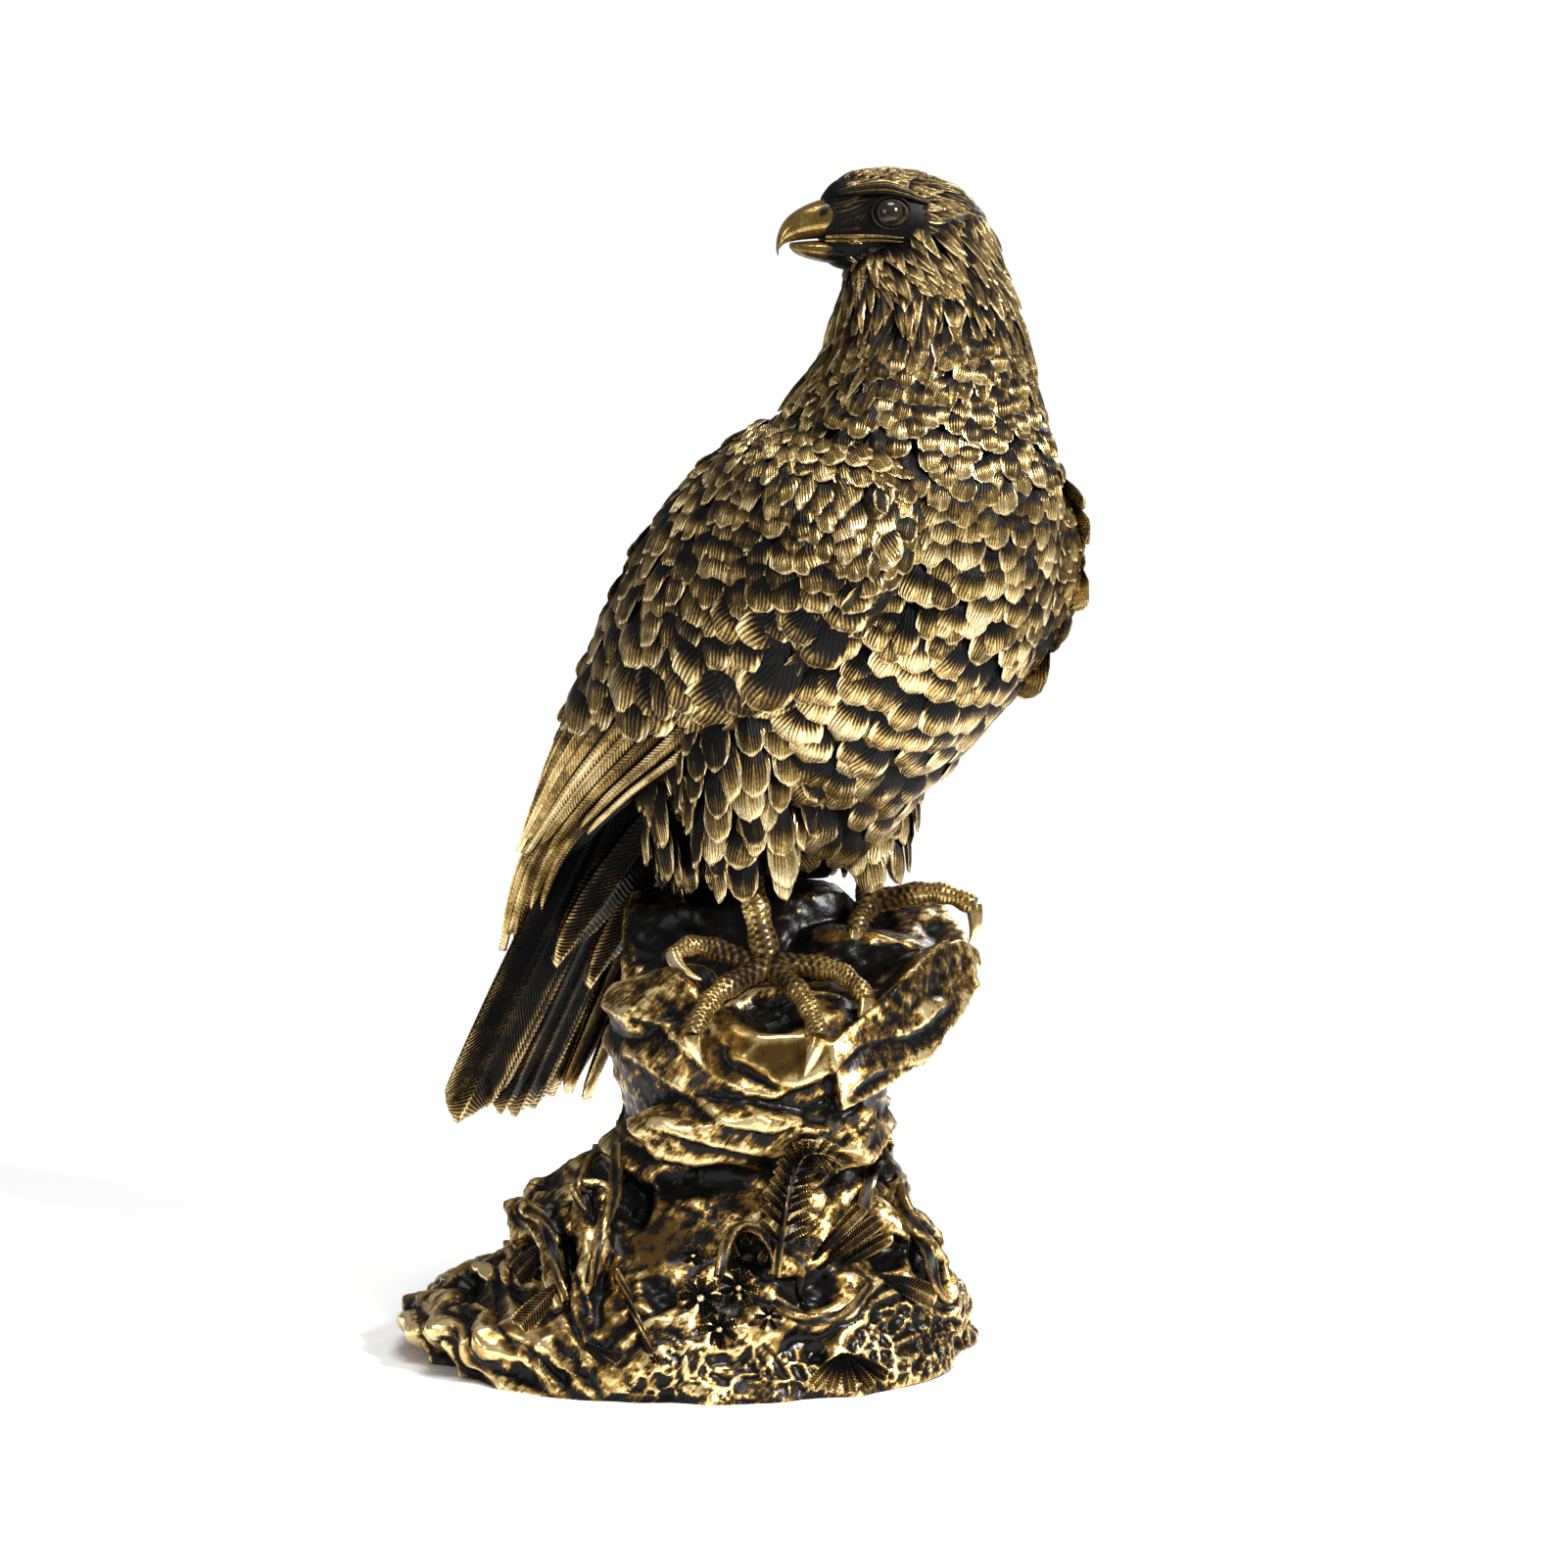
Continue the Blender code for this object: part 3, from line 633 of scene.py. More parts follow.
def feather_tree() -> Tree:
    """The tree that sets a unit feather on every point, turned and sized by the point's attributes."""
    works = Tree("lay_feathers", {
        "Points": "NodeSocketGeometry", "Feather": "NodeSocketObject", "Ruffle": "NodeSocketVector",
        "Seed": "NodeSocketInt", "Finish": "NodeSocketMaterial"})
    given = works.start.outputs
    vector = {"data_type": "FLOAT_VECTOR"}
    turn = works.node("GeometryNodeInputNamedAttribute", vector, {"Name": "turn"})
    span = works.node("GeometryNodeInputNamedAttribute", vector, {"Name": "span"})
    least = works.node("ShaderNodeVectorMath", {"operation": "SCALE"}, {
        "Vector": given["Ruffle"], "Scale": -1.0})
    chance = works.node("FunctionNodeRandomValue", vector, {
        "Min": least.outputs[0], "Max": given["Ruffle"], "Seed": given["Seed"]})
    base = works.node("FunctionNodeEulerToRotation", None, {0: turn.outputs["Attribute"]})
    ruffle = works.node("FunctionNodeEulerToRotation", None, {0: chance.outputs["Value"]})
    both = works.node("FunctionNodeRotateRotation", {"rotation_space": "LOCAL"}, {
        0: base.outputs[0], 1: ruffle.outputs[0]})
    shape = works.node("GeometryNodeObjectInfo", None, {"Object": given["Feather"]})
    laid = works.node("GeometryNodeInstanceOnPoints", None, {
        "Points": given["Points"], "Instance": shape.outputs["Geometry"],
        "Rotation": both.outputs[0], "Scale": span.outputs["Attribute"]})
    real = works.node("GeometryNodeRealizeInstances", None, {0: laid.outputs[0]})
    dressed = works.node("GeometryNodeSetMaterial", None, {
        "Geometry": real.outputs[0], "Material": given["Finish"]})
    works.tree.links.new(dressed.outputs[0], works.end.inputs[0])
    return works


@dataclass
class Tract:
    """A tract of small overlapping feathers on a skin.

    ruffle is how far each is turned by chance, and sink how deep the roots lie below the skin.
    """

    name: str
    skin: Skin
    feather: SmallFeather
    finish: GoldOverBlack
    ruffle: Point = (0.16, 0.05, 0.20)
    seed: int = 1
    sink: float = 0.3
    roots: list[Array] = field(default_factory=list)
    turns: list[Array] = field(default_factory=list)
    spans: list[Array] = field(default_factory=list)
    tones: list[Array] = field(default_factory=list)

    def lay(self, start: tuple, end: tuple, width: Array | float, lift: Array | float,
            tone: Array | float) -> None:
        """Lays a row of feathers.

        Args:
            start: the two parameters of the roots.
            end: the two parameters of the tips.
            width: their widths.
            lift: how far their tips stand off.
            tone: their tones.
        """
        root, tip = self.skin.at(*start), self.skin.at(*end)
        out = self.skin.out(np.add(start[0], end[0]) / 2, np.add(start[1], end[1]) / 2)
        length = np.linalg.norm(tip - root, axis=-1)
        self.set_out(root - out * self.sink, tip - root, out, triples(length, width, lift), tone)

    def set_out(self, root: Array, along: Array, out: Array, span: Array, tone: Array | float) -> None:
        """Sets feathers out by their roots, directions and sizes."""
        along = unit_of(along)
        out = unit_of(out - along * np.sum(out * along, axis=-1, keepdims=True))
        across = np.cross(out, along)
        turns = [Matrix(np.stack(axes, axis=-1).tolist()).to_euler() for axes in zip(along, across, out)]
        self.roots.append(root)
        self.turns.append(np.array([tuple(turn) for turn in turns]).reshape(-1, 3))
        self.spans.append(span)
        self.tones.append(np.broadcast_to(np.asarray(tone, float), (len(root),)))

    def make(self, tree: Tree) -> bpy.types.Object:
        """The tract as one plain mesh."""
        mesh = bpy.data.meshes.new(self.name)
        mesh.from_pydata((np.concatenate(self.roots) * UNIT).tolist(), [], [])
        store(mesh, "turn", np.concatenate(self.turns))
        store(mesh, "span", np.concatenate(self.spans) * UNIT)
        store(mesh, "tone", np.concatenate(self.tones))
        obj = bpy.data.objects.new(self.name, mesh)
        bpy.context.scene.collection.objects.link(obj)
        feather = self.feather.make()
        material = self.finish.material()
        tree.apply(obj, {"Feather": feather, "Ruffle": self.ruffle, "Seed": self.seed, "Finish": material})
        for label in ("turn", "span"):
            if label in obj.data.attributes:
                obj.data.attributes.remove(obj.data.attributes[label])
        obj.data.name = self.name
        bpy.data.objects.remove(feather)
        finish_piece(obj, material)
        return obj


@dataclass(frozen=True)
class Vane:
    """A long feather with a shaft and slanted barbs cut as ridges.

    pitch is the distance between barbs, ridge and shaft are how far barbs and shaft stand up, crown is the
    vane's arch, shingle its tilt to one side, and slant how far the barbs sweep on towards the tip.
    """

    cut: FeatherCut
    pitch: float
    ridge: float
    crown: float
    shaft: float
    shingle: float
    slant: float

    def carve(self, into: Carving, spine: Callable[[Array], tuple[Array, Array, Array]], length: float,
              width: float, tone: float, lift: Callable[[Array], Array]) -> None:
        """Adds the feather.

        Args:
            into: the carving that takes it.
            spine: gives middle, across and out vectors for shares of the length.
            length: its length.
            width: its full width.
            tone: its tone.
            lift: gives how far the middle stands off the spine for shares of the length.
        """
        rows = 2 * max(6, round(length / self.pitch))
        places = np.array([-1, -0.78, -0.52, -0.28, -0.1, 0, 0.1, 0.28, 0.52, 0.78, 1])
        share = np.linspace(0, 1, rows + 1)
        half = 0.5 * width * Profile(self.cut.value).at(share)[:, 0]
        ridge = (np.arange(rows + 1) % 2).astype(float)
        top = np.empty((rows + 1, len(places), 3))
        vane = np.empty((rows + 1, len(places), 3))
        for j, v in enumerate(places):
            u = np.minimum(1.0, share + self.slant * abs(v) * half / length * np.minimum(1, 6 * (1 - share)))
            middle, across, out = spine(u)
            rise = lift(share) + self.crown * (1 - v * v) + self.shingle * v * half / (0.5 * width)
            on_barbs = abs(v) > 0.08
            rise = rise + self.ridge * (2 * ridge - 1) * on_barbs
            rise = rise + self.shaft * (v == 0)
            top[:, j] = middle + across * (v * half)[:, None] + out * rise[:, None]
            vane[:, j] = triples(share, 0.5 + 0.5 * v, ridge if on_barbs else 1.0)
        into.add(top.reshape(-1, 3), plate_faces(rows, len(places) - 1), vane.reshape(-1, 3), tone)


class Wire:
    """A shader socket that takes part in Python arithmetic: each operator adds one Math node."""

    def __init__(self, bench: Bench, socket: bpy.types.NodeSocket) -> None:
        """Wraps an output socket of a bench's tree."""
        self.bench = bench
        self.socket = socket

    def math(self, operation: str, *others: Wire | float, first: Wire | float | None = None) -> Wire:
        """One Math node on this socket, or on first and then this one."""
        values = [self, *others] if first is None else [first, self]
        node = self.bench.node("ShaderNodeMath", {"operation": operation}, dict(enumerate(values)))
        return Wire(self.bench, node.outputs[0])

    def __add__(self, other: Wire | float) -> Wire:
        """Sum."""
        return self.math("ADD", other)

    __radd__ = __add__

    def __sub__(self, other: Wire | float) -> Wire:
        """Difference."""
        return self.math("SUBTRACT", other)

    def __rsub__(self, other: float) -> Wire:
        """Difference, with a number first."""
        return self.math("SUBTRACT", first=other)

    def __mul__(self, other: Wire | float) -> Wire:
        """Product."""
        return self.math("MULTIPLY", other)

    __rmul__ = __mul__

    def __abs__(self) -> Wire:
        """Size without sign."""
        return self.math("ABSOLUTE")

    def top(self, other: Wire | float) -> Wire:
        """The greater of two."""
        return self.math("MAXIMUM", other)

    def step(self, low: float, high: float) -> Wire:
        """A soft step from 0 at low to 1 at high."""
        node = self.bench.node("ShaderNodeMapRange", {"interpolation_type": "SMOOTHSTEP"}, {
            "Value": self, "From Min": low, "From Max": high})
        return Wire(self.bench, node.outputs["Result"])


class Bench(Graph):
    """A material's node tree under construction."""

    def __init__(self, name: str) -> None:
        """Makes the material with its shader."""
        self.material = bpy.data.materials.new(name)
        self.material.use_nodes = True
        super().__init__(self.material.node_tree)
        self.shader = self.tree.nodes["Principled BSDF"]

    def wire(self, node: bpy.types.Node, output: str | int = 0) -> Wire:
        """An output of a node as a wire."""
        return Wire(self, node.outputs[output])

    def noise(self, scale: float, detail: float = 3.0, rough: float = 0.55, stretch: Point = (1, 1, 1),
              turn: Point = (0, 0, 0)) -> Wire:
        """Noise on the object's own coordinates.

        Args:
            scale: turns in a metre.
            detail: how many finer layers it has.
            rough: weight of each finer layer against the last.
            stretch: how far it is drawn out along each axis.
            turn: how the axes are turned first, in radians.

        Returns:
            Its value, about 0.5.
        """
        place = self.node("ShaderNodeTexCoord").outputs["Object"]
        if stretch != (1, 1, 1):
            place = self.node("ShaderNodeMapping", {"vector_type": "TEXTURE"}, {
                "Vector": place, "Rotation": turn, "Scale": stretch}).outputs[0]
        return self.wire(self.node("ShaderNodeTexNoise", None, {
            "Vector": place, "Scale": scale, "Detail": detail, "Roughness": rough}))

    def attribute(self, name: str) -> bpy.types.Node:
        """A node that reads a mesh attribute."""
        return self.node("ShaderNodeAttribute", {"attribute_name": name})

    def ramp(self, factor: Wire, stops: Sequence[tuple[float, Point]]) -> bpy.types.NodeSocket:
        """A colour from a factor and stops."""
        node = self.node("ShaderNodeValToRGB", None, {0: factor})
        marks = node.color_ramp.elements
        while len(marks) < len(stops):
            marks.new(0.5)
        for mark, (place, colour) in zip(marks, stops):
            mark.position = place
            mark.color = (*colour, 1)
        return node.outputs[0]

    def bump(self, height: Wire, distance: float, strength: float = 1.0) -> bpy.types.NodeSocket:
        """A normal from a height."""
        return self.node("ShaderNodeBump", None, {
            "Height": height, "Distance": distance, "Strength": strength}).outputs[0]


GOLD_STOPS = (
    (0.0, (0.002, 0.0018, 0.0016)), (0.26, (0.008, 0.006, 0.004)), (0.46, (0.10, 0.060, 0.018)),
    (0.68, (0.40, 0.262, 0.085)), (0.86, (0.68, 0.49, 0.21)), (1.0, (0.88, 0.71, 0.40)))
STONE_STOPS = (
    (0.0, (0.002, 0.0018, 0.0016)), (0.32, (0.008, 0.006, 0.004)), (0.50, (0.085, 0.046, 0.011)),
    (0.74, (0.30, 0.180, 0.048)), (0.92, (0.60, 0.41, 0.155)), (1.0, (0.80, 0.62, 0.31)))
MIDTONE = 0.45
CONTRAST = 1.3
METALLIC = 0.85
SPECULAR = 0.12


@dataclass(frozen=True)
class GoldOverBlack:
    """Antique gold rubbed over black resin: dark at a feather's root and in its grooves, bright at its rim.

    Gold starts at share bare of the length and is full at share full; the dark root is partly the resin's
    black and partly painted shade under the feather above. groove, rim, patch and crease say how much grooves
    darken it, rims brighten it, chance rubbing blotches it and painted shade darkens its side edges where
    neighbours meet. The rims' brightening is partly rubbed gold and partly a painted highlight. hairs,
    hair_depth and sweep lay out the fine barbs, base is gold all over, and shine the least roughness.
    """

    name: str
    bare: float = 0.32
    full: float = 0.74
    groove: float = 0.3
    hairs: float = 2.4
    hair_depth: float = 0.34
    sweep: float = 2.2
    rim: float = 0.5
    patch: float = 0.8
    shine: float = 0.22
    base: float = 0.12
    painted_gap_shade: float = 0.0

    def material(self) -> bpy.types.Material:
        """The finish as a material, made once for each name."""
        if self.name in bpy.data.materials:
            return bpy.data.materials[self.name]
        bench = Bench(self.name)
        vane = bench.node("ShaderNodeSeparateXYZ", None, {0: bench.attribute("vane").outputs["Vector"]})
        along, across, ridge = (bench.wire(vane, k) for k in range(3))
        tone = bench.wire(bench.attribute("tone"), "Fac")
        side = abs(across * 2.0 - 1.0)
        broad = bench.noise(85.0, 4.0)
        fine = bench.noise(900.0, 2.0, 0.7)
        # Gold grows from root to tip; the dark root is partly the resin's black and partly painted shade
        # under the feather above.
        cover = along.step(self.bare, self.full)
        # Side and tip edges; their brightening is partly rubbed gold and partly a painted highlight.
        edge = side.step(0.66, 0.95).top(along.step(0.90, 0.99))
        turns = (along - side * self.sweep) * (self.hairs * 2 * math.pi)
        hair = (turns + broad * 4.0).math("SINE") * 0.5 + 0.5
        lines = (1.0 - ridge) * self.groove + hair * self.hair_depth * (1.3 - 0.6 * cover)
        gold = cover * 0.60 + edge * (cover * 0.85 + 0.15) * self.rim + (tone - 0.5) * 0.5
        gold = gold + (self.base + self.hair_depth * 0.35) + (broad - 0.5) * self.patch + (fine - 0.5) * 0.45
        # Painted shade darkens the side edges, where neighbouring feathers meet.
        gold = (gold - lines - side.step(0.80, 0.97) * self.painted_gap_shade - MIDTONE) * CONTRAST + MIDTONE
        gold = gold * along.step(self.bare - 0.2, self.bare + 0.16)
        bench.feed(bench.shader, "Base Color", bench.ramp(gold, GOLD_STOPS))
        bench.feed(bench.shader, "Metallic", gold.step(0.25, 0.6) * METALLIC)
        bench.feed(bench.shader, "Roughness", (fine * 0.14 + self.shine + 0.12) - gold.step(0.1, 0.8) * 0.17)
        bench.shader.inputs["Specular IOR Level"].default_value = SPECULAR
        height = ridge * 0.5 + fine * 0.2 - hair * (2.0 * self.hair_depth)
        bench.feed(bench.shader, "Normal", bench.bump(height, 0.0003, 0.9))
        return bench.material


@dataclass(frozen=True)
class GoldOverStone:
    """The same gold on carved stone: bright on worn edges, black in hollows, darker under painted shade
    behind the bird's legs, smooth where it was poured.
    """

    name: str = "gold_stone"

    def material(self) -> bpy.types.Material:
        """The finish as a material."""
        bench = Bench(self.name)
        # Its rubbed-edge attribute also carries the painted shade behind the bird's legs.
        wear_and_painted_shade = bench.wire(bench.attribute("wear_and_painted_shade"), "Fac")
        polish = bench.wire(bench.attribute("polish"), "Fac")
        broad = bench.noise(50.0, 4.0)
        blot = bench.noise(300.0, 4.0, 0.65)
        streak = bench.noise(900.0, 3.0, 0.6, (1.0, 1.0, 9.0), (0.0, 0.7, 0.0))
        fine = bench.noise(1300.0, 2.0, 0.7)
        rough_gold = (wear_and_painted_shade - 0.5) * 1.2 + (broad - 0.5) * 1.8 + (blot - 0.5) * 1.6 + (fine - 0.5) * 0.5
        rough_gold = rough_gold + (streak - 0.5) * 1.5 + 0.38
        smooth_gold = (wear_and_painted_shade - 0.5) * 1.0 + (broad - 0.5) * 2.0 + (blot - 0.5) * 0.4 + 0.56
        gold = rough_gold * (1.0 - polish) + smooth_gold * polish
        bench.feed(bench.shader, "Base Color", bench.ramp(gold, STONE_STOPS))
        bench.feed(bench.shader, "Metallic", gold.step(0.25, 0.6) * METALLIC)
        bench.feed(bench.shader, "Roughness", 0.31 - polish * 0.12 + (fine - 0.5) * 0.16)
        height = blot * 0.5 + fine * 0.15 + streak * 0.35
        bench.feed(bench.shader, "Normal", bench.bump(height * (1.0 - polish * 0.85), 0.0005, 0.8))
        bench.shader.inputs["Specular IOR Level"].default_value = SPECULAR
        bench.shader.inputs["Coat Weight"].default_value = 0.06
        bench.shader.inputs["Coat Roughness"].default_value = 0.12
        return bench.material


@dataclass(frozen=True)
class GlossBlack:
    """Glossy black enamel for the eyes."""

    name: str = "glossy_black"

    def material(self) -> bpy.types.Material:
        """The finish as a material."""
        bench = Bench(self.name)
        speck = bench.noise(400.0)
        stops = ((0.3, (0.004, 0.004, 0.004)), (0.8, (0.03, 0.02, 0.01)))
        bench.feed(bench.shader, "Base Color", bench.ramp(speck, stops))
        bench.shader.inputs["Roughness"].default_value = 0.08
        return bench.material


@dataclass
class Plumage:
    """What lays feathers: the tree that sets them out and the chance that varies them."""

    tree: Tree
    chance: random.Random

    def between(self, low: float, high: float, count: int) -> Array:
        """Chance numbers from low to high."""
        return np.array([self.chance.uniform(low, high) for _ in range(count)])

    def spread(self, count: int, reach: float) -> Array:
        """Chance numbers within plus and minus reach."""
        return self.between(-reach, reach, count)

    def round_row(self, count: int, row: int, reach: float) -> Array:
        """Angles of a row set round a form, half a place on from the last row, each moved within reach."""
        return 2 * math.pi * (np.arange(count) + 0.5 * (row % 2) + self.spread(count, reach)) / count


def half_turns(angle: Array) -> Array:
    """The same angles within half a turn either way."""
    return (angle + math.pi) % (2 * math.pi) - math.pi


@dataclass
class Body(Plumage):
    """Torso, neck, thighs and the wings' thick shields, all black, with rows of feathers over them.

    Each thigh is a run of places in the bird's frame with the radius there.
    """

    width: Profile = field(default_factory=lambda: Profile(
        ((40, 11.0), (90, 10.5), (140, 8.4), (170, 6.8), (190, 5.8), (205, 5.2))))
    lift: float = 2.7
    rows_between: tuple[float, float] = (40, 192)
    row_step: float = 0.64
    overlap: float = 1.6
    thighs: tuple = (
        (((-26, -22, 86), 27), ((-29, -31, 54), 18), ((-23, -34, 33), 7)),
        (((-20, 22, 78), 17), ((-22, 20, 54), 13), ((-21, 19, 34), 6)),
    )
    thigh_width: float = 9.6
    curtain_rows: int = 5
    curtain_count: int = 20

    def underform(self) -> bpy.types.Object:
        """The black forms beneath the feathers."""
        shape = Carving()
        skin = BodySkin(1.2)
        heights = np.linspace(skin.slices.rows[0, 0], skin.slices.rows[-1, 0], 44)
        angles = np.linspace(0, 2 * math.pi, 48, endpoint=False)
        self.black_loft(shape, skin.at(heights[:, None], angles[None, :]))
        for side in (-1, 1):
            wing = WingSkin(side, 1.2)
            bands, across = np.linspace(0, 0.95, 34)[:, None], np.linspace(0, 1, 18)[None, :]
            outer = wing.at(bands, across)
            inner = outer[:, ::-1] + STANCE.way(0, -side, 0) * wing.thickness(bands)[..., None]
            self.black_loft(shape, np.concatenate([outer, inner], axis=1))
        steps, sides = 16, 20
        for thigh in self.thighs:
            path = bend([STANCE.bird(*place) for place, _ in thigh], steps)
            radii = bend([[radius - 1.0] for _, radius in thigh], steps)[:, 0]
            shape.tube(path, radii, sides, vane=np.zeros((steps * sides, 3)), tone=0.0)
        return shape.make("bird_underform", 60)

    def black_loft(self, shape: Carving, rings: Array) -> None:
        """A closed skin through rings with no gold on it."""
        shape.loft(rings, np.zeros((rings.shape[0] * rings.shape[1], 3)), 0.0)

    def breast(self) -> Tract:
        """Rows of rounded feathers on breast, belly and back, finest at the neck."""
        tract = Tract("breast_feathers", BodySkin(), SmallFeather(FeatherCut.ROUND),
                      GoldOverBlack("gold_breast"), seed=3)
        lowest, up = self.rows_between
        row = 0
        while up > lowest:
            width = self.width.one(up)
            count = round(tract.skin.girth(up) / (0.90 * width))
            angle = half_turns(self.round_row(count, row, 0.30))
            angle = angle[~self.under_wing(up, angle)]
            count = len(angle)
            tall = up + self.spread(count, 0.36 * width)
            reach = (self.overlap + self.spread(count, 0.25)) * width / tract.skin.stretch(tall, angle)[0]
            reach = np.minimum(reach, 1.9 * width)
            start = (np.minimum(236, tall + 0.5 * reach), angle)
            end = (np.maximum(31, tall - 0.5 * reach), angle + self.spread(count, 0.04))
            wide = width * (1.14 + self.spread(count, 0.2))
            lift = self.lift + self.spread(count, 0.5)
            tone = self.tones(count) + 0.3 * float(1 - smooth(90, 135, up))
            # Feathers in the fold beside the right wing get a darker tone: painted shade.
            tract.lay(start, end, wide, lift, tone - 0.9 * self.painted_gap_shade(tract.skin.at(tall, angle)))
            up -= self.row_step * width
            row += 1
        return tract

    def painted_gap_shade(self, places: Array) -> Array:
        """How much painted shade darkens places on the breast in the fold beside the right wing, from 0 to 1.
        """
        x, y, z = np.moveaxis(places, -1, 0)
        return np.exp(-(((x - 53) / 8) ** 2) - ((z - 258) / 24) ** 2) * (y < 0)

    def under_wing(self, up: float, angle: Array) -> Array:
        """Whether places on the torso lie hidden beneath a folded wing."""
        return (np.abs(angle) > math.radians(106)) & (np.abs(angle) < math.radians(150)) & (70 < up < 145)

    def tones(self, count: int) -> Array:
        """Chance tones."""
        return 0.5 + self.spread(count, 0.42)

    def thigh_feathers(self) -> Tract:
        """Long feathers that hang from the thighs over the legs, and a curtain of them behind."""
        tract = Tract("thigh_feathers", BodySkin(), SmallFeather(FeatherCut.LONG),
                      GoldOverBlack("gold_thigh", bare=0.34, full=0.86, rim=0.6), seed=5)
        for thigh in self.thighs:
            places = bend([STANCE.bird(*place) for place, _ in thigh], 9)
            radii = bend([[radius] for _, radius in thigh], 9)[:, 0]
            for row in range(1, 8):
                count = max(6, round(2 * math.pi * radii[row] / self.thigh_width))
                angle = self.round_row(count, row, 0.2)
                out = triples(np.cos(angle), np.sin(angle), 0.12)
                root = places[row] + out * (radii[row] * 0.92) + np.array((0, 0, 11))
                tip = places[row] + out * (radii[row] + 0.4) - triples(0, 0, 13 + self.spread(count, 4.0))
                width = self.thigh_width + self.spread(count, 1.8)
                span = triples(np.linalg.norm(tip - root, axis=-1), width, self.lift)
                tract.set_out(root, tip - root, out, span, 0.45 + self.spread(count, 0.65))
        count = self.curtain_count
        for row in range(self.curtain_rows):
            step = np.arange(count) + 0.5 * (row % 2) - 0.5 * count + self.spread(count, 0.2)
            angle = math.pi + step * 0.12
            up = 74 - 7.0 * row
            root, out = tract.skin.at(up, angle), tract.skin.out(up, angle)
            fall = triples(-4 * out[:, 0], -4 * out[:, 1], -(26 + self.spread(count, 5)))
            span = triples(np.linalg.norm(fall, axis=-1), 9 + self.spread(count, 1.5), self.lift)
            tract.set_out(root, fall, out, span, self.tones(count) - 0.3)
        return tract

    def make(self) -> None:
        """Builds and dresses every piece of the body."""
        under = self.underform()
        finish_piece(under, GoldOverBlack("gold_breast").material())
        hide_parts(STATUE)
        self.breast().make(self.tree)
        self.thigh_feathers().make(self.tree)


@dataclass
class Neck(Plumage):
    """Pointed hackles that hang in loose locks from the head to the shoulders.

    jaw, lips and ear bound the bare face, up and along in the head's frame.
    """

    jaw: float = -11.5
    lips: float = -9.5
    ear: float = -1.5
    right_cheek: float = -14.0
    throat: float = math.radians(-138)
    top: float = 234.0
    rows: int = 13
    row_step: float = 4.2
    pitch: float = 4.6
    cheek_top: float = 229.0
    cheek_rows: int = 7
    cheek_step: float = 2.3
    cheek_count: int = 56

    def make(self) -> None:
        """Builds and dresses the hackles."""
        tract = Tract("neck_hackles", BodySkin(), SmallFeather(FeatherCut.LANCE, 6, 6, 0.7),
                      GoldOverBlack("gold_hackle", bare=0.2, full=0.80, hairs=5.0, sweep=1.6),
                      ruffle=(0.3, 0.08, 0.16), seed=9, sink=0.0)
        for row in range(self.rows):
            up = self.top - self.row_step * row
            count = round(tract.skin.girth(up) / self.pitch)
            angle = self.round_row(count, row, 0.3)
            back = 0.5 - 0.5 * np.cos(angle + 0.6)
            reach = 15 + 8 * back + self.spread(count, 4)
            width = 4.2 + 2.2 * back
            start = (np.minimum(self.top, up + 0.35 * reach), angle)
            lean = self.spread(count, 0.09)
            lean = lean + 0.4 * float(smooth(204, 226, up)) * np.sin(angle - self.throat)
            end = (up - 0.65 * reach, angle + lean)
            tone = self.between(0.15, 0.85, count)
            along, out, height = np.moveaxis(STANCE.in_head(tract.skin.at(*start)), -1, 0)
            clear = (height < self.jaw) | (along < self.ear) | (out < self.right_cheek)
            low = (start[0][clear], angle[clear]), (end[0][clear], end[1][clear])
            tract.lay(*low, width[clear], (1.9 + 1.2 * back)[clear], tone[clear])
        self.cheeks(tract)
        tract.make(self.tree)

    def cheeks(self, tract: Tract) -> None:
        """Lays rows of small pointed feathers from the lips down over cheeks and chin."""
        for row in range(self.cheek_rows):
            up = self.cheek_top - self.cheek_step * row
            angle = self.round_row(self.cheek_count, row, 0.3)
            places = tract.skin.at(np.full(len(angle), up), angle)
            along, _, height = np.moveaxis(STANCE.in_head(places), -1, 0)
            angle = angle[(height < self.lips) & (along > self.ear - 4)]
            reach = self.between(8, 12, len(angle))
            lean = 0.35 * np.sin(angle - self.throat)
            tone = self.between(0.3, 0.9, len(angle))
            tract.lay((np.full(len(angle), up), angle), (up - reach, angle + lean), 3.2, 1.4, tone)


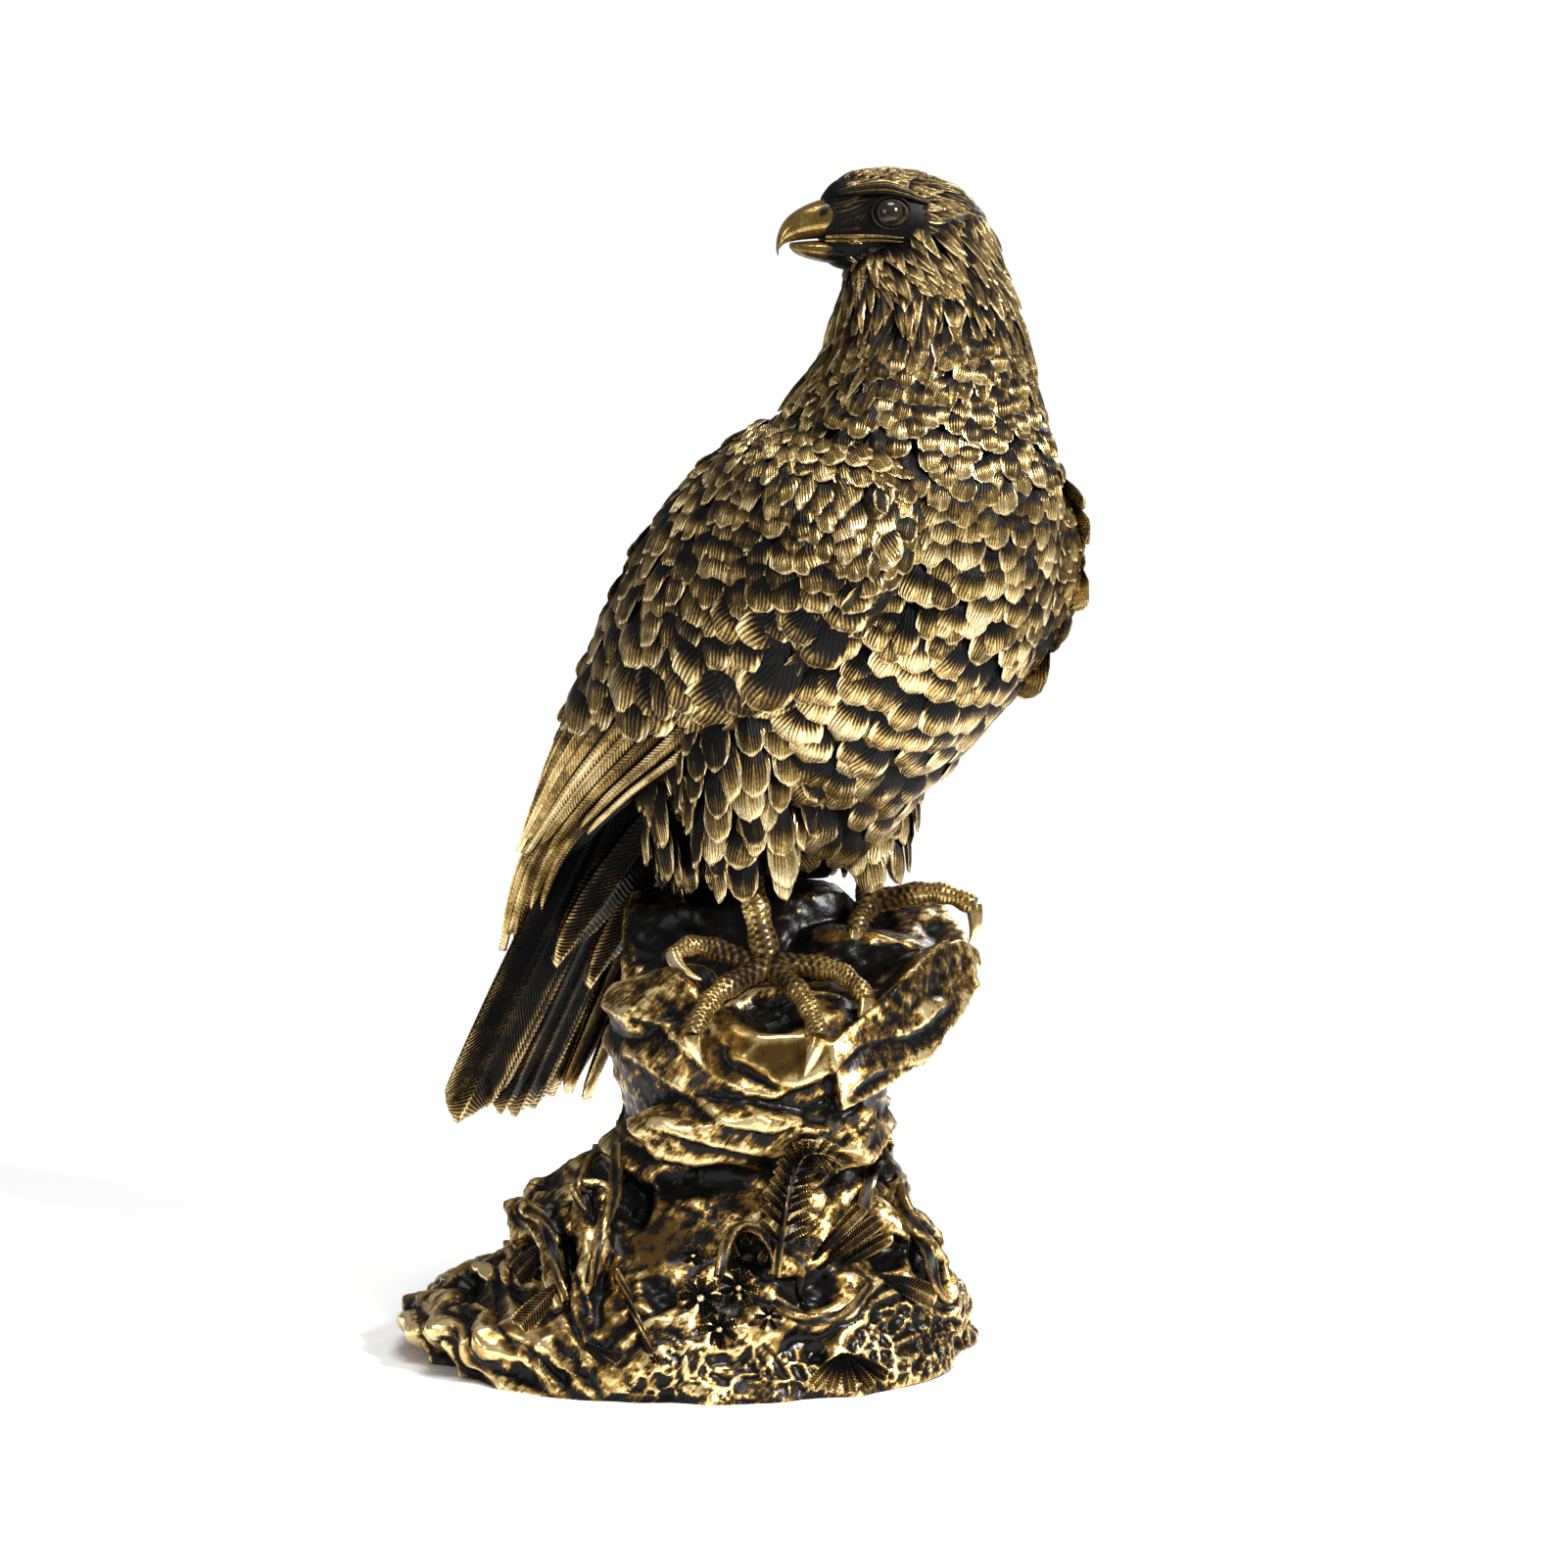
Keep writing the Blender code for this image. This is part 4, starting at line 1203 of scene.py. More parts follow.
@dataclass
class Wing(Plumage):
    """One folded wing: rows of coverts from the shoulder, then the long flight feathers.

    Each rank of quills has its first and last band, their count, how far they stand off and their width.
    """

    side: int
    widths: Profile = field(default_factory=lambda: Profile(
        ((0.0, 6.4), (0.12, 7.6), (0.28, 10.0), (0.42, 13.5), (0.52, 17.0), (0.62, 18.0))))
    lift: float = 2.5
    covert_bands: tuple[float, float] = (0.012, 0.60)
    row_step: float = 0.60
    overlap: float = 1.8
    front_rows: int = 34
    back_rows: int = 46
    back_places: tuple = (0.05, 0.6, 1.05, 1.35, 1.65, 1.95)
    ranks: tuple = ((0.74, 1.0, 8, 0.4, 6.2), (0.50, 0.86, 9, 1.6, 6.0))

    def coverts(self, label: str) -> Tract:
        """Rows of coverts, small at the shoulder and large below."""
        tract = Tract(f"{label}_wing_coverts", WingSkin(self.side), SmallFeather(FeatherCut.ROUND, 6, 10),
                      GoldOverBlack("gold_covert", bare=0.34, full=0.78, hairs=3.4, sweep=1.6), seed=11)
        band, last = self.covert_bands
        row = 0
        while band < last:
            width = self.widths.one(band)
            along, across = (float(size) for size in tract.skin.stretch(band, 0.5))
            steps = max(4, round(across / (0.88 * width)))
            count = steps + 1
            place = (np.arange(count) + 0.5 * (row % 2) + self.spread(count, 0.24)) / steps
            place = np.clip(place, -0.03, 1.03)
            reach = self.overlap * width / along
            slant = 0.35 * width / across
            start = (np.maximum(0, band - 0.45 * reach), np.clip(place + slant, 0, 1))
            end = (band + 0.55 * reach, place - slant * 0.6 + self.spread(count, 0.02))
            wide = width * (1.12 + self.spread(count, 0.16))
            tract.lay(start, end, wide, self.lift * (0.8 + 0.03 * width), 0.5 + self.spread(count, 0.4))
            band += self.row_step * width / along
            row += 1
        return tract

    def edge(self, label: str) -> Tract:
        """Small feathers that wrap the wing's front and back edges."""
        tract = Tract(f"{label}_wing_edge", WingEdge(self.side), SmallFeather(FeatherCut.ROUND),
                      GoldOverBlack("gold_breast"), seed=17)
        for row in range(self.front_rows):
            band = 0.01 + 0.0185 * row
            along = float(tract.skin.stretch(band, 0.5)[0])
            place = np.array((0.12, 0.62)) + 0.28 * (row % 2) + self.spread(2, 0.1)
            width = 7.5 + 3 * band
            reach = np.full(2, 1.7 * width / along)
            start = (np.maximum(0, band - 0.4 * reach), place + 0.15)
            wide = width * (1.1 + self.spread(2, 0.15))
            tone = 0.2 + self.spread(2, 0.3)
            tract.lay(start, (band + 0.6 * reach, place - 0.12), wide, 0.75 * self.lift, tone)
        tract.skin = WingBack(self.side)
        count = len(self.back_places)
        for row in range(self.back_rows):
            band = 0.02 + 0.0195 * row
            along = float(tract.skin.stretch(band, 0.5)[0])
            place = np.array(self.back_places) + 0.14 * (row % 2) + self.spread(count, 0.05)
            reach = np.full(count, 17.0 / along)
            start = (np.maximum(0, band - 0.4 * reach), place)
            end = (np.minimum(0.99, band + 0.6 * reach), place)
            tract.lay(start, end, 9.5 + self.spread(count, 1.5), self.lift, 0.35 + self.spread(count, 0.3))
        return tract

    def quills(self, label: str) -> bpy.types.Object:
        """Great coverts, secondaries and primaries, each shingled over the next."""
        skin = WingSkin(self.side)
        shape = Carving()
        vane = Vane(FeatherCut.STRIP, pitch=1.6, ridge=0.10, crown=1.6, shaft=0.4, shingle=0.6 * self.side,
                    slant=2.0)
        for first, last, count, rise, width in self.ranks:
            for k in range(count):
                across = (k + 0.5) / count
                reach = last - 0.09 * abs(across - 0.4) - 0.03 * (k % 2)

                def spine(u: Array, a: float = first, b: float = reach, c: float = across) -> tuple:
                    """Middle, across and out of the quill at shares of its length."""
                    band = a + (b - a) * u
                    place = np.full_like(band, c)
                    out = skin.out(np.minimum(band, 0.985), place)
                    along = skin.at(np.minimum(band + 0.01, 1.0), place) - skin.at(band - 0.01, place)
                    return skin.at(band, place), unit_of(np.cross(out, unit_of(along))), out

                length = float(np.linalg.norm(skin.at(reach, across) - skin.at(first, across)))
                tone = 0.2 + 0.5 * self.chance.random()
                vane.carve(shape, spine, length, width * (1.0 + 0.1 * (k % 2)), tone,
                           lambda u, r=rise: (r + 1.2) * smooth(0.1, 0.6, u) - 1.2 + 0.8 * u)
        return shape.make(f"{label}_wing_quills", 50)

    def make(self) -> None:
        """Builds and dresses the wing's feathers."""
        label = "left" if self.side > 0 else "right"
        self.coverts(label).make(self.tree)
        self.edge(label).make(self.tree)
        # The quills get painted shade along their side edges, where neighbours meet.
        finish = GoldOverBlack("gold_quill", bare=0.05, full=0.6, groove=0.2, hair_depth=0.0, rim=0.1,
                               patch=1.0, base=0.2, painted_gap_shade=1.3)
        finish_piece(self.quills(label), finish.material())


@dataclass
class Tail:
    """The closed fan of tail feathers, with long coverts under and over its root.

    Each covert has its root forward, left and up, its length, and its lean back from upright in degrees.
    """

    chance: random.Random
    feathers: int = 9
    width: float = 20.0
    covert_width: float = 19.0
    coverts: tuple = (
        (-62, -22, 62, 84, 40), (-66, -8, 60, 88, 36), (-66, 8, 60, 84, 36), (-62, 20, 60, 76, 36),
        (-88, -12, 92, 70, 30), (-90, 0, 90, 80, 30), (-88, 12, 92, 70, 30))

    def blade(self, shape: Carving, root: Array, tip: Array, normal: Array, width: float, tone: float,
              vane: Vane, sag: float) -> None:
        """One straight long feather from root to tip, bowed by sag."""
        along = unit_of(tip - root)
        across = unit_of(np.cross(normal, along))
        out = np.cross(along, across)
        length = float(np.linalg.norm(tip - root))

        def spine(u: Array) -> tuple:
            """Middle, across and out of the feather at shares of its length."""
            bow = sag * np.sin(math.pi * u)
            middle = root + (tip - root) * u[:, None] + out * bow[:, None]
            return middle, np.broadcast_to(across, middle.shape), np.broadcast_to(out, middle.shape)

        vane.carve(shape, spine, length, width, tone, lambda u: 0 * u)

    def make(self) -> None:
        """Builds and dresses the tail, with each feather carved on both faces."""
        shape = Carving()
        for k in range(self.feathers):
            spread = 2 * k / (self.feathers - 1) - 1
            root = STANCE.bird(-80, 19 * spread - 2, 76)
            tip = STANCE.bird(-160 + 4 * abs(spread), 30 * spread - 2, -57 - 3 * math.cos(5 * spread))
            normal = STANCE.way(0.78, 0.12 * spread, 0.62 + 0.02 * k)
            vane = Vane(FeatherCut.QUILL, pitch=1.9, ridge=0.14, crown=1.4, shaft=0.4,
                        shingle=1.2 if spread >= 0 else -1.2, slant=1.7)
            for face in (1, -1):
                # The underside face, turned forward and down, gets a darker tone than the upper face: painted
                # shade.
                tone = 0.4 - 0.3 * face + 0.3 * self.chance.random()
                self.blade(shape, root, tip, normal * face, self.width, tone, vane, 1.0)
        vane = Vane(FeatherCut.LANCE, pitch=1.9, ridge=0.2, crown=1.8, shaft=0.6, shingle=0.0, slant=0.7)
        normal = STANCE.way(0.7, 0, 0.5)
        for forward, left, up, reach, lean in self.coverts:
            root = STANCE.bird(forward, left, up)
            away, down = reach * math.sin(math.radians(lean)), reach * math.cos(math.radians(lean))
            tip = STANCE.bird(forward - away, left * 1.2, up - down)
            for face in (1, -1):
                self.blade(shape, root, tip, normal * face, self.covert_width, 0.4, vane, 1.5)
        finish = GoldOverBlack("gold_tail", bare=0.0, full=1.0, groove=0.55, hair_depth=0.0, rim=0.5,
                               patch=0.9, base=0.06)
        finish_piece(shape.make("tail_feathers", 50), finish.material())


@dataclass
class Head(Plumage):
    """The skull under fine feathers, with brow, lips, hooked bill and glossy eyes.

    Bill rows hold the distance along the head's axis, half the width, and the top and bottom heights. Each
    brow hair has the angle at which it lies on the brow, and its gold. Each of the lores' strands has its
    height at the bill and its height by the eye.
    """

    upper_bill: tuple = (
        (12, 7.6, 6.0, -8.2), (20, 6.8, 3.8, -8.4), (26, 5.8, 2.0, -8.8), (31, 4.8, -0.6, -9.4),
        (34.2, 3.6, -3.6, -10.4), (35.8, 2.6, -6.8, -11.8), (36.3, 1.8, -9.4, -13.0),
        (36.1, 0.9, -11.8, -13.9))
    lower_bill: tuple = (
        (8, 7.6, -8.8, -17.2), (18, 6.6, -9.0, -16.2), (25, 5.2, -9.2, -15.0), (30, 3.6, -9.6, -13.4),
        (32.3, 1.6, -9.9, -11.6))
    brow: tuple = ((19, 6.4, 4.6), (11, 10.4, 6.0), (2, 12.8, 5.6), (-7, 13.4, 1.6))
    brow_hairs: tuple = ((84, 0.75), (58, 0.4), (36, 0.55), (12, 0.3), (-14, 0.5), (-38, 0.3))
    lores: tuple = (
        (-7.0, -5.8), (-6.3, -5.0), (-5.6, -3.4), (-4.6, -2.6), (-4.0, -1.4), (-3.0, -0.6), (-2.2, 0.8),
        (-1.2, 1.4), (-0.4, 2.6), (0.6, 3.4), (1.4, 4.6), (2.6, 5.2), (3.4, 6.4))
    eye: Point = (4.2, 11.2, -1.4)
    eye_radius: float = 4.3
    lids: tuple = ((3.9, 0.6, 0.3), (5.4, 0.45, 0.22))
    row_step: float = 2.6
    pitch: float = 2.9

    def stations(self, shape: Carving, rows: Rows, sides: int, steps: int, tone: float,
                 vane: Callable[[Array], Array]) -> None:
        """A loft along the head's axis through upright ovals."""
        profile = Profile([(i, *row) for i, row in enumerate(rows)])
        along, half_width, top, bottom = profile.at(np.linspace(0, len(rows) - 1, steps)).T[:, :, None]
        angle = np.linspace(0, 2 * math.pi, sides, endpoint=False)[None, :]
        middle, half = (top + bottom) / 2, (top - bottom) / 2
        rings = STANCE.head(along, half_width * np.sin(angle), middle + half * np.cos(angle))
        shape.loft(rings, vane(rings.reshape(-1, 3)), tone)

    def skull(self) -> bpy.types.Object:
        """Skull, brow, lores, lips and eyelids."""
        shape = Carving()
        self.stations(shape, HeadSkin.stations.rows.tolist(), 40, 40, 0.3, self.face_gold)
        for side in (-1, 1):
            self.ridge(shape, side)
            for low, high in self.lores:
                self.strand(shape, side, low, high)
            self.gape(shape, side)
            self.eyelids(shape, side)
        return shape.make("skull", 60)

    def ridge(self, shape: Carving, side: int) -> None:
        """The brow over one eye, with fine hairs along it."""
        path = bend([STANCE.head(along, side * out, up) for along, out, up in self.brow], 24)
        thick = bend([[0.9], [2.0], [2.2], [0.6]], 24)[:, 0]
        self.limb(shape, path, thick, 12, 0.3)
        middle = bend(self.brow, 24)
        fine = 0.06 + 0.26 * np.sin(math.pi * np.linspace(0, 1, 24))
        for turn, gold in self.brow_hairs:
            out = middle[:, 1] + thick * math.cos(math.radians(turn))
            up = middle[:, 2] + thick * math.sin(math.radians(turn))
            self.limb(shape, STANCE.head(middle[:, 0], side * out, up), fine, 8, gold)

    def strand(self, shape: Carving, side: int, low: float, high: float) -> None:
        """One fine strand from the bill at height low back to height high beside the eye."""
        share = np.linspace(0, 1, 20)
        first, last = self.chance.uniform(18.5, 22), self.chance.uniform(9.5, 13.5)
        bow = self.chance.uniform(-0.7, 0.9) * np.sin(math.pi * share)
        path = self.on_face(first + (last - first) * share, low + (high - low) * share**1.5 + bow, side)
        thick = 0.05 + self.chance.uniform(0.2, 0.5) * np.sin(math.pi * share)
        self.limb(shape, path, thick, 8, self.chance.uniform(0.1, 0.45))

    def gape(self, shape: Carving, side: int) -> None:
        """The two lips that run back from the bill on one side."""
        along = np.linspace(22.4, 0.5, 24)
        for drop, thick in ((-8.3, 0.6), (-9.5, 0.42)):
            radii = bend([[0.55], [thick * 1.3], [0.25]], 24)[:, 0]
            self.limb(shape, self.on_face(along, drop - 0.5 * smooth(8, 0, along), side), radii, 10, 0.62)

    def eyelids(self, shape: Carving, side: int) -> None:
        """The rings of skin round one eye."""
        ring = np.linspace(0, 2 * math.pi, 33)
        along, out, up = self.eye
        for reach, thick, gold in self.lids:
            stand = out + 2.0 - 0.35 * (reach - 4) - 0.10 * reach * np.cos(ring)
            round_it = along + reach * 1.08 * np.cos(ring), side * stand, up + reach * 0.9 * np.sin(ring)
            self.limb(shape, STANCE.head(*round_it), np.full(33, thick), 8, gold, 0.6)

    def limb(self, shape: Carving, path: Array, radii: Array, sides: int, gold: float,
             tone: float = 0.5) -> None:
        """A round form along a path, with one share of gold all over."""
        shape.tube(path, radii, sides, vane=np.tile((gold, 0.5, 1.0), (len(path) * sides, 1)), tone=tone)

    def on_face(self, along: Array, up: Array, side: int) -> Array:
        """Places on one side of the skull at distances along its axis and heights above the eyes' level."""
        _, top, bottom = np.moveaxis(HeadSkin.stations.at(along), -1, 0)
        level = (up - (top + bottom) / 2) / ((top - bottom) / 2)
        return HeadSkin().at(along, side * np.arccos(np.clip(level, -1, 1)))

    def face_gold(self, points: Array) -> Array:
        """Vane values of the skull: black round the eyes and bill, gold on brow and crown."""
        _, _, up = np.moveaxis(STANCE.in_head(points), -1, 0)
        return triples(0.16 + 0.5 * smooth(5, 11, up), 0.5, 1.0)

    def bill(self) -> bpy.types.Object:
        """Upper bill with its hook, and lower bill."""
        shape = Carving()
        self.stations(shape, self.upper_bill, 28, 40, 0.6, self.horn_gold)
        self.stations(shape, self.lower_bill, 24, 24, 0.5, self.horn_gold)
        return shape.make("bill", 60)

    def horn_gold(self, points: Array) -> Array:
        """Vane values of the bill: dark at the face, the seam and the nostril, and bright to the tip."""
        along, _, up = np.moveaxis(STANCE.in_head(points), -1, 0)
        seam = np.exp(-(((along - 19.5 - 0.25 * up) / 0.7) ** 2))
        nostril = np.exp(-(((along - 22.6 + 0.5 * up) / 1.1) ** 2) - ((up + 0.8) / 1.3) ** 2)
        return triples(0.28 + 0.5 * smooth(18, 34, along) - 0.6 * seam - 0.7 * nostril, 0.5, 1.0)

    def eyes(self) -> bpy.types.Object:
        """Both eyeballs."""
        shape = Carving()
        polar = np.linspace(0.05, math.pi - 0.05, 16)[:, None]
        turn = np.linspace(0, 2 * math.pi, 24, endpoint=False)[None, :]
        along, out, up = self.eye
        for side in (-1, 1):
            shape.loft(STANCE.head(
                along + self.eye_radius * np.sin(polar) * np.cos(turn),
                side * (out + self.eye_radius * np.cos(polar)),
                up + self.eye_radius * np.sin(polar) * np.sin(turn)))
        return shape.make("eyes", 60)

    def feathers(self) -> Tract:
        """Fine feathers that stream back from the brow, and locks that hang at the nape."""
        tract = Tract("head_feathers", HeadSkin(), SmallFeather(FeatherCut.LANCE, 4, 4, 0.6),
                      GoldOverBlack("gold_head", bare=0.2, full=0.9, hairs=3.0, sweep=1.6),
                      ruffle=(0.2, 0.04, 0.12), seed=13)
        along, row = 20.0, 0
        while along > -26:
            half_width, top, bottom = HeadSkin.stations.at(along)
            count = round(math.pi * (half_width + (top - bottom) / 2) / self.pitch)
            angle = half_turns(self.round_row(count, row, 0.25))
            height = (top + bottom) / 2 + (top - bottom) / 2 * np.cos(angle)
            before_eye = (np.abs(height - self.eye[2]) < 5.6) & (along > self.eye[0])
            eye = np.hypot((along - self.eye[0]) / 1.15, height - self.eye[2]) < 5.9
            gape = (along > -1) & (np.abs(height + 9) < 1.5)
            clear = ~(eye | gape | before_eye)
            angle, height = angle[clear], height[clear]
            reach = 8.0 + 0.05 * (15 - along)
            drift = np.sign(angle) * 0.30 * (1 - smooth(-12, 4, height))
            tone = self.between(0.2, 0.9, len(angle)) + 0.2 * (height < -9)
            start = (np.full(len(angle), along), angle)
            tract.lay(start, (np.full(len(angle), max(-27, along - reach)), angle + drift), 3.0, 1.1, tone)
            along -= self.row_step
            row += 1
        hang = STANCE.head(-5, 0, -10) - STANCE.head(0, 0, 0)
        count = 15
        for along in (-18.0, -20.5, -23.0, -25.5):
            angle = np.linspace(-2.0, 2.0, count) + self.spread(count, 0.1)
            root, out = tract.skin.at(along, angle), tract.skin.out(along, angle)
            span = np.tile((12.0, 3.8, 1.4), (count, 1))
            tract.set_out(root, np.tile(hang, (count, 1)), out, span, self.between(0.2, 0.9, count))
        return tract

    def make(self) -> None:
        """Builds and dresses the head."""
        finish = GoldOverBlack("gold_face", bare=0.0, full=1.0, groove=0.0, hair_depth=0.0, rim=0.0,
                               patch=0.5)
        finish_piece(self.skull(), finish.material())
        horn = GoldOverBlack("gold_bill", bare=-0.3, full=1.0, groove=0.0, hair_depth=0.0, rim=0.0,
                             patch=1.1, shine=0.08)
        finish_piece(self.bill(), horn.material())
        finish_piece(self.eyes(), GlossBlack().material())
        self.feathers().make(self.tree)


@dataclass
class Feet:
    """Shanks and toes ringed with scutes, and smooth hooked claws.

    Each is a run of places from where the bird stands; from place claw_from on, a toe is its claw.
    """

    shanks: tuple = (
        ((-40.1, -10, 34), (-37.8, -12, 22), (-34.5, -15, 8)),
        ((-3.4, 28, 34), (-2.8, 25, 28), (-2.3, 22, 21)),
    )
    toes: tuple = (
        ((-34, -15, 7), (-18, -22, 7.8), (-8.3, -26, 3.8), (-4.6, -30, -1.6), (-4.9, -32, -7.8),
         (-9.6, -31, -13.9)),
        ((-33, -18, 6), (-25, -32, 1.7), (-20.3, -42, -5.8), (-19.2, -47, -10.9), (-21, -48, -17),
         (-23.2, -48, -21.9)),
        ((-36, -18, 6), (-47.3, -32, 3.1), (-54.5, -40, -4.6), (-56.8, -45, -10.6), (-56.5, -46, -15),
         (-54, -46, -19)),
        ((-37, -14, 7), (-49.1, -10, 10.7), (-59, -10, 13.1), (-63.2, -12, 9.4), (-62.4, -18, 5.1),
         (-54.5, -24, 3.5)),
        ((-2, 21, 22), (11.5, 14, 26), (22.7, 12, 25.7), (29.4, 10, 21.9), (30.8, 8, 15.1), (28.1, 8, 10.8)),
        ((-3, 20, 21), (-5, 15, 19), (-6.5, 12, 17.1), (-7.2, 10, 14), (-7.8, 8, 10), (-9, 8, 3.8)),
        ((-2, 23, 20), (2, 34, 22), (4, 42, 20), (5, 46, 16), (5, 48, 12), (4, 48, 9)),
    )
    radius: float = 3.3
    claw_from: int = 3
    scute: float = 1.8
    sides: int = 18

    def scuted(self, shape: Carving, path: Array, radii: Array) -> None:
        """A limb whose upper side is stepped in broad overlapping scales."""
        length = np.linalg.norm(np.diff(path, axis=0), axis=1).sum()
        count = max(8, round(8 * length / self.scute))
        path, radii = bend(path, count), bend(np.asarray(radii)[:, None], count)[:, 0]
        turns = np.linspace(0, length / self.scute, count)
        saw = turns % 1.0
        step = 0.18 * (1 - saw) ** 1.5 - 0.14 * np.exp(-((saw / 0.14) ** 2))
        angle = np.linspace(0, 2 * math.pi, self.sides, endpoint=False)
        upper = smooth(-0.3, 0.5, np.sin(angle))[None, :]
        beads = 0.14 * np.sin(5 * angle + 0.8)[None, :] * np.sin(2 * math.pi * turns * 0.8)[:, None]
        knuckle = 0.10 * np.cos(turns * 2 * math.pi / 6.0)[:, None]
        swell = step[:, None] * upper + beads * (1 - upper) + knuckle * self.radius
        share = np.repeat(np.linspace(0.2, 1, count), self.sides)
        ridge = (np.clip(1.4 - 1.1 * saw, 0, 1)[:, None] * upper + (0.5 + 3.0 * beads) * (1 - upper)).ravel()
        shape.tube(path, radii[:, None] + swell, self.sides, vane=triples(share, 0.5, ridge), tone=0.6)

    def make(self) -> None:
        """Builds and dresses the feet."""
        toes, claws = Carving(), Carving()
        for shank in self.shanks:
            self.scuted(toes, STANCE.foot(*np.array(shank).T), [4.2, 3.9, 4.6])
        for toe in self.toes:
            path = STANCE.foot(*np.array(toe).T)
            swell = np.array([1.2, 1.0, 0.95, 0.85]) * self.radius
            self.scuted(toes, path[: self.claw_from + 1], swell)
            hook = bend(path[self.claw_from:], 22)
            radii = bend((np.array([0.8, 0.66, 0.12]) * self.radius)[:, None], 22)[:, 0]
            claws.tube(hook, radii, 16, tone=0.9)
        finish = GoldOverBlack("gold_foot", bare=-0.4, full=0.6, groove=0.55, hair_depth=0.0, rim=0.0,
                               patch=0.9)
        finish_piece(toes.make("feet", 60), finish.material())
        polished = GoldOverBlack("gold_claw", bare=-0.6, full=0.4, groove=0.2, hair_depth=0.0, rim=0.0,
                                 patch=0.8, shine=0.12, base=0.04)
        finish_piece(claws.make("claws", 60), polished.material())


